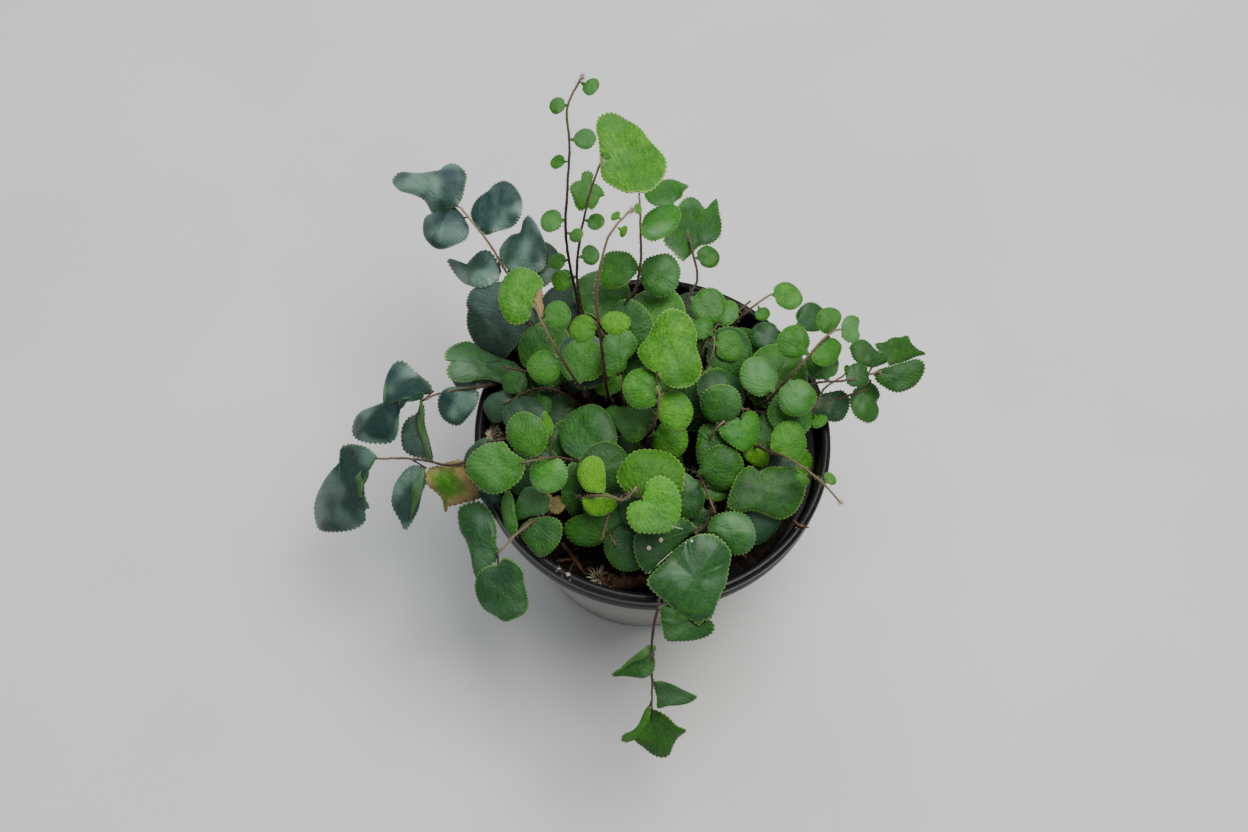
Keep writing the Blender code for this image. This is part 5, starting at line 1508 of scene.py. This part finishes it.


# Tone (0 dark blue-green, 1 yellow-green) and coolness (0 warm, 1 bluish, and more painted sheen) of the
# leaflets that show best
LEAF_COLOURS = {
    "back_broad_tip": {0: (0.84, 0.4), 1: (0.75, 0.9), 2: (0.58, 0.3), 3: (0.55, 0.4)},
    "back_right": {0: (0.6, 0.5), 1: (0.46, 0.3)},
    "left_arching": {0: (0.85, 0.5), 1: (0.72, 0.5), 2: (0.74, 0.3)},
    "middle_broad_tip": {0: (0.85, 0.4), 1: (0.8, 0.5), 2: (0.9, 0.6), 3: (0.52, 0.3)},
    "middle_short": {0: (0.68, 0.7)},
    "middle_left": {0: (0.22, 0.4)},
    "front_middle": {0: (0.92, 0.9), 1: (0.70, 0.0), 2: (1.0, 0.2), 3: (0.97, 0.15), 4: (0.5, 0.2)},
    "left_front": {0: (0.70, 0.6), 1: (0.62, 0.3), 2: (0.84, 1.0), 3: (0.53, 0.5)},
    "right_front": {0: (0.42, 0.05), 1: (0.55, 0.3)},
    "right_middle": {0: (0.75, 0.8), 1: (0.52, 0.3), 2: (0.44, 0.1)},
    "right_runner": {2: (0.8, 0.4), 3: (0.92, 0.1)},
    "right_long": {0: (0.44, 0.0), 1: (0.44, 0.2), 2: (0.42, 0.1), 3: (0.4, 0.3)},
    "right_low": {0: (0.5, 0.5), 1: (0.26, 0.1)},
    "front_dark_tip": {0: (0.42, 0.5), 1: (0.36, 0.25), 2: (0.5, 0.6)},
    "front_left_over_rim": {0: (0.36, 0.3), 1: (0.38, 0.4), 2: (0.45, 0.1), 3: (0.5, 0.4)},
    "front_trailing": {0: (0.44, 0.0), 1: (0.72, 0.3), 2: (0.40, 0.2), 3: (0.45, 0.3), 4: (0.42, 0.1)},
    "front_short": {0: (0.42, 0.2), 1: (0.55, 0.3)},
    "left_inner": {0: (0.42, 0.5)},
    "left_dark_lower": {0: (0.05, 0.6), 1: (0.12, 0.8), 2: (0.8, 0.0), 3: (0.2, 0.3)},
    "left_dark_upper": {0: (0.1, 0.85), 1: (0.03, 0.3), 2: (0.14, 0.9), 4: (0.5, 0.3)},
    "left_dark_inner": {0: (0.0, 0.12), 1: (0.0, 0.25)},
    "back_left_dark": {0: (0.12, 0.95), 1: (0.06, 0.7), 2: (0.14, 1.0), 3: (0.12, 0.85), 4: (0.14, 0.8),
                       5: (0.1, 0.5)},
}
AGES = {"dying": 1.0, "dead": 2.0}
# The low fronds' leaflets are made darker as a painted shade under the canopy; they are also warmer, and
# rolls are paler for their underside
LOW_PAINTED_SHADE, LOW_WARMER, ROLL_PALER = 0.07, 0.25, 0.15
PLEATED_LEAF = ("front_dark_tip", 0)
dice = random.Random(SEED + 2)
leaf_pieces = {}
for name, tone, _, leaves in fronds:
    if leaves:
        copies, low = [], name.startswith("low")
        for index, leaf in enumerate(leaves):
            chance_tone = tone + dice.uniform(-0.12, 0.05) - LOW_PAINTED_SHADE * low
            chance = chance_tone, dice.uniform(0.2, 0.7) - LOW_WARMER * low
            leaf_tone, cool = leaf.colour or LEAF_COLOURS.get(name, {}).get(index, chance)
            pleating = DEEP_PLEATS if (name, index) == PLEATED_LEAF else PLAIN_PLEATS
            age = AGES.get(leaf.form, 0.0)
            copies.append(leaf_copy(leaf, leaf_tone, cool, age, dice, leaf.outline, pleating))
            if leaf.roll:
                pale = leaf_tone + ROLL_PALER
                copies.append(leaf_copy(leaf, pale, cool, 0.0, dice, leaf.roll, pleating, ROLL_LIFT))
                edit(copies[-1])
                bpy.ops.mesh.flip_normals()
                object_mode()
        piece = joined_into(copies[0], copies[1:])
        piece.name = piece.data.name = "leaflets_" + name
        thickened(piece, LEAF_THICK)
        leaf_pieces[name] = piece
deleted(*blanks.values())
print("faces of all leaflets:", faces_in(*leaf_pieces.values()))

# %% [markdown]
# A leaf's green isn't one colour. Its tone runs from dark blue-green to yellow-green with the frond's age,
# it is mottled, paler along the scalloped edge and along the veins, and darker in the furrows between them,
# which is a painted shade of the furrows.
# The veins follow the leaflet's own flat map: they are lines of equal angle round the stalk, and twice as
# many further out, because button fern veins fork. The same lines raise the bump. The underside is paler and
# duller, and a dying leaflet turns to straw from its edge. Broad paler, bluish patches, most on dark
# leaflets,
# are a painted sheen: the light glancing off the leaf, painted into its colour.

# %% Leaflets: green with forking veins
GREENS = [(0.0, (0.012, 0.032, 0.028)), (0.3, (0.014, 0.055, 0.022)), (0.55, (0.022, 0.105, 0.011)),
          (0.8, (0.038, 0.164, 0.012)), (1.0, (0.088, 0.270, 0.015))]
WARM, COOL = (1.18, 1.0, 0.65), (0.92, 1.02, 1.4)
EDGE_PALE = (0.25, 0.45, 0.09)
UNDER_PALE = (0.10, 0.20, 0.06)
# Colours of the painted sheen on dark and on bright leaflets
PAINTED_SHEEN_DARK, PAINTED_SHEEN_BRIGHT = (0.16, 0.26, 0.225), (0.17, 0.36, 0.12)
STRAW, RUST = (0.27, 0.20, 0.085), (0.13, 0.062, 0.030)
PAINTED_FURROW_SHADE, FURROW_LIGHT, FURROW_DEPTH = (0.50, 0.58, 0.56), (1.15, 1.13, 1.08), 0.55
VEINS = 26

paint = Paint("fern leaf", Specular_IOR_Level=0.15, Coat_Roughness=0.34)
chance, tone, age, under = paint.look()
chart = paint.node("UVMap", {"uv_map": "leaf"})
across = paint.node("SeparateXYZ", None, {0: chart}, "X") * 2 - 1
along = paint.node("SeparateXYZ", None, {0: chart}, "Y") * 2
reach = (across ** 2 + (along - 1) ** 2) ** 0.5
from_stalk = (across ** 2 + along ** 2) ** 0.5
mottle = paint.noise(2.4, 4)
drift = paint.noise(9, 2)
angle = across.maths("ARCTAN2", along + 0.04) + (mottle - 0.5) * 0.16 + (drift - 0.5) * 0.25
inner = ((angle * VEINS).maths("SINE") * 0.5 + 0.5) ** 0.6
outer = ((angle * (2 * VEINS) + 1.2).maths("SINE") * 0.5 + 0.5) ** 0.6
forked = (from_stalk + (mottle - 0.5) * 0.5).between(0.7, 1.2)
veins = inner * (1 - forked) + outer * forked
veins = veins * (0.5 + drift * 0.5) + 0.25 - drift * 0.25
fine = paint.noise(0.35, 3)
grit = paint.noise(0.8, 4)

shade = tone + (mottle - 0.5) * 0.3 + (drift - 0.5) * 0.35 + (grit - 0.5) * 0.35
green = paint.node("ValToRGB", {"stops": GREENS}, {0: shade})
# Pale veins and grain lighten the colour, and the furrows between the veins are darkened as a painted shade
ridge = veins * 0.38 + fine * 0.2 + grit.between(0.3, 0.7) * 0.42
green = paint.mix(green, paint.mix(PAINTED_FURROW_SHADE, FURROW_LIGHT, ridge), FURROW_DEPTH, "MULTIPLY")
green = paint.mix(green, paint.mix(WARM, COOL, chance), 1.0, "MULTIPLY")
rim = (reach + (fine - 0.5) * 0.03).between(0.945, 0.985)
# Painted sheen: patches of noise where the colour turns paler and bluish, standing for light glancing off the
# leaf, strongest on dark, cool leaflets
painted_sheen = paint.noise(12, 1).between(0.44, 0.66) * chance * (0.8 - tone * 0.6)
green = paint.mix(green, paint.mix(PAINTED_SHEEN_DARK, PAINTED_SHEEN_BRIGHT, tone), painted_sheen)
green = paint.mix(green, EDGE_PALE, rim * (0.12 + tone * 0.65))
green = paint.mix(green, UNDER_PALE, under * 0.45)
withered = age * (reach ** 4 * 0.7 + drift * 1.3 + mottle * 0.5 + age * 0.3).between(0.95, 1.65)
straw = paint.mix(STRAW, RUST, (reach * 0.7 + fine * 0.3 + mottle * 0.5).between(0.85, 1.35))
green = paint.mix(green, straw, withered)
paint.feed("Base Color", green)
paint.feed("Roughness", 0.46 + mottle * 0.16 + under * 0.15 + withered * 0.3)
paint.feed("Coat Weight", (1 - tone) * (0.14 + chance * 0.45) * (1 - under) * (1 - age))
relief = paint.bump(mottle, 0.4)
for height, depth in ((grit, 0.30), (fine, 0.10), (veins, 0.09)):
    relief = paint.bump(height, depth, relief)
paint.feed("Normal", relief)

# %% [markdown]
# All leaflets share this one material, and a slot name for a frond's leaves is picked by its tone.

# %% Leaflets: painted and handed over
LEAF_SLOTS = [(0.8, "leaf_bright"), (0.55, "leaf_green"), (0.3, "leaf_deep"), (-1, "leaf_blue")]

for name, tone, _, _ in fronds:
    if name in leaf_pieces:
        painted(leaf_pieces[name], paint.material)
        slot = next(slot for least, slot in LEAF_SLOTS if tone >= least)
        finish_piece(leaf_pieces[name], slot, "frond_" + name)
print("leaf pieces finished:", len(leaf_pieces))

# %% [markdown]
# ## What lies on the soil
#
# A button fern creeps by a rhizome, a stem at soil level a few millimetres thick, rough with old scales
# and pale and shaggy at its growing end. A piece of it lies bare near the front rim, and a dry forked root
# beside it. Both follow the routes of their solids, with more points, a knobbly radius and fine clouds of
# Displace. The scales of the bud are the hair of the stems once more, made wide and short.

# %% Rhizome and dry root: routes of the solids, made rough
RHIZOME = [(-13, -43.0, 1.2), (-8, -44.2, 2.0), (-2, -43.6, 1.8), (3, -42.2, 1.3)]
ROOT_TWIG = [(-24, -33.0, 0.8), (-20, -37.5, 1.0), (-16, -42.0, 0.7)]
ROOT_BRANCH = [(-20, -37.5, 0.9), (-25, -38.5, 0.6)]
SEAT_GAP = 0.3
BLUNT_END = 0.6
SKIN_LUMPS = 1.1
BARK_DARK, BARK_BROWN, SCALE_PALE = (0.018, 0.010, 0.006), (0.14, 0.070, 0.038), (0.64, 0.57, 0.42)


def on_soil(route):
    """A route of (x, y, radius) laid on the soil: its points, and its radii."""
    points = [Vector((x, y, soil_height(x, y) + radius + SEAT_GAP)) for x, y, radius in route]
    return points, [radius for _, _, radius in route]


def rough_wire(name, points, radii, knobs, dice, steps, roundness):
    """A wire with more points than its route, whose radius swells and shrinks, with a rough skin."""
    fine, sizes = [], []
    for index in range(len(points) - 1):
        for step in range(steps + (index == len(points) - 2)):
            share = step / steps
            fine.append(points[index].lerp(points[index + 1], share))
            radius = radii[index] * (1 - share) + radii[index + 1] * share
            sizes.append(radius * dice.uniform(1 - knobs, 1 + knobs))
    sizes[0], sizes[-1] = sizes[0] * BLUNT_END, sizes[-1] * BLUNT_END
    obj = wire(name, wandering(fine, dice, knobs * 0.5), sizes, roundness)
    edit(obj)
    bpy.ops.mesh.subdivide(number_cuts=1, smoothness=0.4)
    object_mode()
    roughened(obj, name + " skin", SKIN_LUMPS, knobs)
    set_look(obj, (dice.random(), 0.5, 0.5, 0.0))
    return obj


def scales_about(middle, reach, count, lengths, upward_share, dice, blank):
    """A tuft: scales that stand away from a middle point in all directions, more of them upwards."""
    matrices, looks = [], []
    for _ in range(count):
        away = Vector((dice.gauss(0, 1), dice.gauss(0, 1), dice.gauss(upward_share, 0.8))).normalized()
        start = middle + Vector((away.x * reach[0], away.y * reach[1], away.z * reach[2]))
        length = dice.uniform(*lengths)
        matrices.append(frame_at(start, away, dice.uniform(0, ANY_TURN), (1, 1, length)))
        looks.append((dice.random(), 1.0, 0.5, 1.0))
    return copied("scales", blank, matrices, looks)


dice = random.Random(SEED + 3)
scale = spike("scale", 1.0, 0.42, 0.16)
rhizome_points, rhizome_radii = on_soil(RHIZOME)
rhizome = rough_wire("rhizome_bark", rhizome_points, rhizome_radii, 0.28, dice, 6, 5)
bud = rhizome_points[0] + Vector((0.8, 0, 0.2))
scales = [scales_about(bud, (1.4, 1.2, 1.0), 90, (1.2, 3.2), 0.5, dice, scale)]
for share in (0.4, 0.7, 1.0):
    middle = rhizome_points[0].lerp(rhizome_points[1], share)
    scales.append(scales_about(middle, (1.2, 1.6, 1.3), 14, (0.5, 1.2), 0.6, dice, scale))
joined_into(rhizome, scales)

twig_points, twig_radii = on_soil(ROOT_TWIG)
branch_points, branch_radii = on_soil(ROOT_BRANCH)
thin = [radius * 0.75 for radius in twig_radii]
root_twig = rough_wire("dry_root", twig_points, thin, 0.16, dice, 6, 2)
pieces = [rough_wire("branch", branch_points, [radius * 0.6 for radius in branch_radii], 0.14, dice, 4, 2)]
for share, turn, length in ((0.3, 0.4, 5), (0.55, -1.9, 6), (0.85, 0.2, 4)):
    start = twig_points[0].lerp(twig_points[2], share)
    end = start + Vector((math.cos(turn), math.sin(turn), 0)) * length
    end.z = soil_height(end.x, end.y) + 0.4
    pieces.append(rough_wire("rootlet", [start, start.lerp(end, 0.5) + Vector((0, 0.4, 0.2)), end],
                             [0.25, 0.2, 0.12], 0.08, dice, 3, 1))
joined_into(root_twig, pieces)
print("rhizome faces:", faces_in(rhizome), "- dry root faces:", faces_in(root_twig))

# %% [markdown]
# The rhizome and the dry root share one bark, two browns mixed by two sizes of noise. Their scales are marked
# as hairs are, and are much paler than the bark.

# %% Rhizome and dry root: bark and pale scales
paint = Paint("rhizome bark", Roughness=0.85, Specular_IOR_Level=0.25)
chance, _, _, is_hair = paint.look()
coarse, fine = paint.noise(1.6, 5), paint.noise(0.35, 4)
bark = paint.mix(BARK_DARK, BARK_BROWN, (coarse * 0.6 + fine * 0.5).between(0.38, 0.68))
paint.feed("Base Color", paint.mix(bark, paint.mix(STEM_TAN, SCALE_PALE, chance * 0.6 + 0.4), is_hair))
paint.feed("Normal", paint.bump(fine, 0.15, paint.bump(coarse, 0.5)))
bark_material = paint.material
for piece, node in ((rhizome, "rhizome"), (root_twig, "root_twig")):
    painted(piece, bark_material)
    alone(piece)
    bpy.ops.object.shade_smooth()
    finish_piece(piece, "brown_stem", node)
print("rhizome and root finished")

# %% [markdown]
# Smaller things make the plant look grown and not built: the stub of a lost stem with its dry tuft of scales
# by the left wall, a bit of twig on the rim, and the croziers, the tightly rolled and woolly tips of the
# youngest fronds. A crozier is a wire whose direction turns more at each step, so that it rolls up.

# %% Tufts, the rim's twig and the croziers
CROZIERS = {"back_tall": (4.2, 1.0), "front_arching": (4.8, 1.0), "back_middle": (3.0, 0.7),
            "right_runner": (2.6, 0.7)}
CROZIER_STEPS = 14
CROZIER_TURN, CROZIER_TIGHTER = 14, 3.4
CROZIER_SIDE = Vector((0.3, -0.8, 0.6))
WOOL_TONE, WOOL_COATS, WOOL_WIDER = 1.4, 4, 1.2
DRY_STUB = [(-44.5, -3.0, 0.9), (-45.8, -3.8, 1.1)]
STUB_TOP = Vector((-46.4, -4.4, 77.0))
RIM_TWIG = [(41.6, -24.6), (43.4, -26.0), (46.4, -26.4)]


def crozier(points, length, thickness):
    """The wire that goes on from the end of a stem and rolls up, tighter and thinner with each step."""
    place, along = points[-1].copy(), (points[-1] - points[-3]).normalized()
    side = along.cross(CROZIER_SIDE).normalized()
    rolled, sizes = [], []
    for step in range(CROZIER_STEPS):
        rolled.append(place.copy())
        sizes.append(YOUNG_STEM * thickness * (1.05 - 0.45 * step / CROZIER_STEPS))
        along = Matrix.Rotation(math.radians(CROZIER_TURN + CROZIER_TIGHTER * step), 3, side) @ along
        place += along * length / CROZIER_STEPS
    tip = wire("crozier", rolled, sizes)
    set_look(tip, (0.5, 1.0, 1.0, 0.0))
    return tip, rolled


dice = random.Random(SEED + 4)
hair = spike("hair", HAIR_LENGTH, HAIR_WIDTH * WOOL_WIDER, HAIR_BEND)
tips = []
for name, (length, thickness) in CROZIERS.items():
    tip, rolled = crozier(stem_lines[name], length, thickness)
    wool = [hairs_on(WOOL_TONE, rolled, dice, hair) for _ in range(WOOL_COATS)]
    tips.append(joined_into(tip, [coat for coat in wool if coat]))
deleted(hair)
croziers = joined_into(tips[0], tips[1:])
croziers.name = croziers.data.name = "croziers"
painted(croziers, stem_pieces["back_tall"].data.materials[0])
finish_piece(croziers, "brown_stem")

(stub_foot, stub_middle), _ = on_soil(DRY_STUB)
stub_points = [stub_foot - Vector((0, 0, 2.5)), stub_middle + Vector((0, 0, 2)), STUB_TOP]
stub = rough_wire("dry_tuft", stub_points, [0.8, 0.9, 1.0], 0.25, dice, 5, 3)
tufts = [scales_about(STUB_TOP + Vector((0, 0, drop)), (1.7, 2.2, 1.2), 75, (0.8, 1.8), 0.7, dice, scale)
         for drop in (0, -2.2)]
joined_into(stub, tufts)
deleted(scale)
rim_points = [Vector((x, y, POT_HEIGHT + 0.45)) for x, y in RIM_TWIG]
rim_twig = rough_wire("rim_twig", rim_points, [0.45, 0.5, 0.25], 0.15, dice, 5, 2)
for piece in (stub, rim_twig):
    painted(piece, bark_material)
    finish_piece(piece, "brown_stem")
print("croziers:", len(CROZIERS), "- faces of the tuft:", faces_in(stub))

# %% [markdown]
# The soil itself is strewn with crumbs of bark, peat and perlite and with fine root fibres. One crumb is
# modelled, a ball of twenty faces pulled out of shape and flattened, and one fibre, a bent wire. They are
# copied all over the soil by chance, each in a size and turn of its own.

# %% Crumbs and fibres on the soil
CRUMBS, FIBRES, PERLITE_SHARE = 420, 70, 0.05
STREW_HALF = 46
CRUMB_DARK, CRUMB_BROWN, PERLITE = (0.006, 0.004, 0.003), (0.085, 0.050, 0.028), (0.45, 0.43, 0.39)

bpy.ops.object.select_all(action="DESELECT")
bpy.ops.mesh.primitive_ico_sphere_add(subdivisions=1, radius=MM)
crumb = just_made("crumb")
edit(crumb)
bpy.ops.transform.vertex_random(offset=0.35 * MM, seed=3)
bpy.ops.transform.resize(value=(1.25, 0.9, 0.6), center_override=(0, 0, 0))
bpy.ops.mesh.select_all(action="SELECT")
bpy.ops.mesh.bevel(offset=0.12 * MM, segments=1, affect="EDGES")
object_mode()
outward(crumb)
bends = [Vector((4 * step - 8, 1.3 * math.sin(step * 1.6), 0.25 * math.cos(step))) for step in range(5)]
fibre = wire("fibre", bends, [0.10, 0.13, 0.12, 0.10, 0.05], 1)


def strewn(count, sizes, lift, share_pale, dice):
    """Matrices and looks for copies strewn over the soil. A look is chance, brown, pale and a spare."""
    matrices, looks = [], []
    while len(matrices) < count:
        x, y = dice.uniform(-STREW_HALF, STREW_HALF), dice.uniform(-STREW_HALF, STREW_HALF)
        if math.hypot(x, y) > soil_edge - 2.5:
            continue
        size = dice.uniform(*sizes)
        turn = Matrix.Rotation(dice.uniform(0, ANY_TURN), 4, "Z")
        turn = turn @ Matrix.Rotation(dice.gauss(0, 0.12), 4, "X")
        place = Matrix.Translation(Vector((x, y, soil_height(x, y) + lift * size)) * MM)
        matrices.append(place @ turn @ Matrix.Diagonal((size, size, size, 1)))
        looks.append((dice.random(), dice.random() ** 2, 1.0 if dice.random() < share_pale else 0.0, 0.0))
    return matrices, looks


dice = random.Random(SEED + 5)
crumbs = copied("soil_crumbs", crumb, *strewn(CRUMBS, (0.35, 1.15), 0.45, PERLITE_SHARE, dice))
fibres = copied("fibres", fibre, *strewn(FIBRES, (0.35, 0.8), 0.8, 0.0, dice))
joined_into(crumbs, [fibres])
deleted(crumb, fibre)

paint = Paint("soil crumbs", Roughness=0.9, Specular_IOR_Level=0.2)
_, brown, pale, _ = paint.look()
grain = paint.noise(0.5, 5)
colour = paint.mix(CRUMB_DARK, CRUMB_BROWN, (brown * 0.9 + grain * 0.4).between(0.25, 1.0))
paint.feed("Base Color", paint.mix(colour, PERLITE, pale * (0.4 + grain * 0.5)))
paint.feed("Normal", paint.bump(grain, 0.2))
painted(crumbs, paint.material)
finish_piece(crumbs, "potting_soil")
print("crumbs:", CRUMBS, "- fibres:", FIBRES, "- faces:", faces_in(crumbs))

# %% [markdown]
# Watering splashes grit on the leaves. The dark leaves at the front carry two tan flecks, two white dots and
# two pale fibres. Each is seen at a pixel of the photograph, so a ray from the camera through that pixel
# finds the point of the finished leaf that it lies on, and the leaf's own normal there lays it flat.

# %% Flecks and fibres on the front leaves
FLECKS = [(649, 548, 0.75, 0.7), (661, 540, 0.7, 0.7), (692, 541, 0.4, 0.0), (686, 543, 0.35, 0.0)]
PALE_THREADS = [[(648, 573), (660, 562), (672, 551), (681, 543), (690, 537)],
                [(672, 526), (682, 529), (694, 534), (700, 530)]]
THREAD_RADIUS, THREAD_LIFT = 0.11, 0.16
FLECK_WHITE, FLECK_TAN, FLECK_DARK = (0.62, 0.61, 0.56), (0.42, 0.32, 0.14), (0.2, 0.18, 0.12)


def seen_on_leaves(pixel):
    """The first point of a leaf that the camera sees at a pixel, and the leaf's normal there."""
    ray = ray_through(pixel).normalized()
    nearest, seen = math.inf, (None, None)
    for piece in leaf_pieces.values():
        hit, place, normal, _ = piece.ray_cast(CAMERA_PLACE * MM, ray)
        away = (place - CAMERA_PLACE * MM).length
        if hit and away < nearest:
            nearest, seen = away, (place / MM, normal)
    return seen


bpy.context.view_layer.update()
bpy.ops.object.select_all(action="DESELECT")
bpy.ops.mesh.primitive_ico_sphere_add(subdivisions=2, radius=MM)
fleck = just_made("fleck")
edit(fleck)
bpy.ops.transform.vertex_random(offset=0.12 * MM, seed=5)
bpy.ops.transform.resize(value=(1.0, 0.85, 0.22), center_override=(0, 0, 0))
object_mode()
outward(fleck)
matrices, looks = [], []
for x, y, size, brown in FLECKS:
    place, normal = seen_on_leaves((x, y))
    if place is not None:
        # any turn about the normal will do, so x gives it
        matrices.append(frame_at(place, normal, x, (size, size, size)))
        looks.append((0.5, brown, 1.0, 0.0))
grit = copied("leaf_grit", fleck, matrices, looks)
deleted(fleck)
threads = []
for pixels in PALE_THREADS:
    spots = [seen_on_leaves(pixel) for pixel in pixels]
    spots = [place + normal * THREAD_LIFT for place, normal in spots if place is not None]
    threads.append(wire("thread", spots, [THREAD_RADIUS] * len(spots), 1))
    set_look(threads[-1], (0.5, 0.3, 1.0, 0.0))
joined_into(grit, threads)

paint = Paint("pale grit", Roughness=0.8)
_, brown, _, _ = paint.look()
grain = paint.noise(0.3, 3)
colour = paint.mix(FLECK_WHITE, FLECK_TAN, brown)
paint.feed("Base Color", paint.mix(colour, FLECK_DARK, grain.between(0.5, 0.8) * 0.4))
paint.feed("Normal", paint.bump(grain, 0.1))
painted(grit, paint.material)
finish_piece(grit, "potting_soil")
print("flecks:", len(matrices), "- threads:", len(threads))

# %% [markdown]
# Last, the script prints the box of the finished plant beside that of the solid it started from.
# They differ by a few millimetres at most, which are leaf edges, hairs and rolled tips.

# %% Measure and finish
bpy.context.view_layer.update()
seen_box = [list(corner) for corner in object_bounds()]
for label, box in (("solid", cad_box), ("dressed", seen_box)):
    print(label, "box in mm:", [[round(v * 1000, 1) for v in corner] for corner in box])
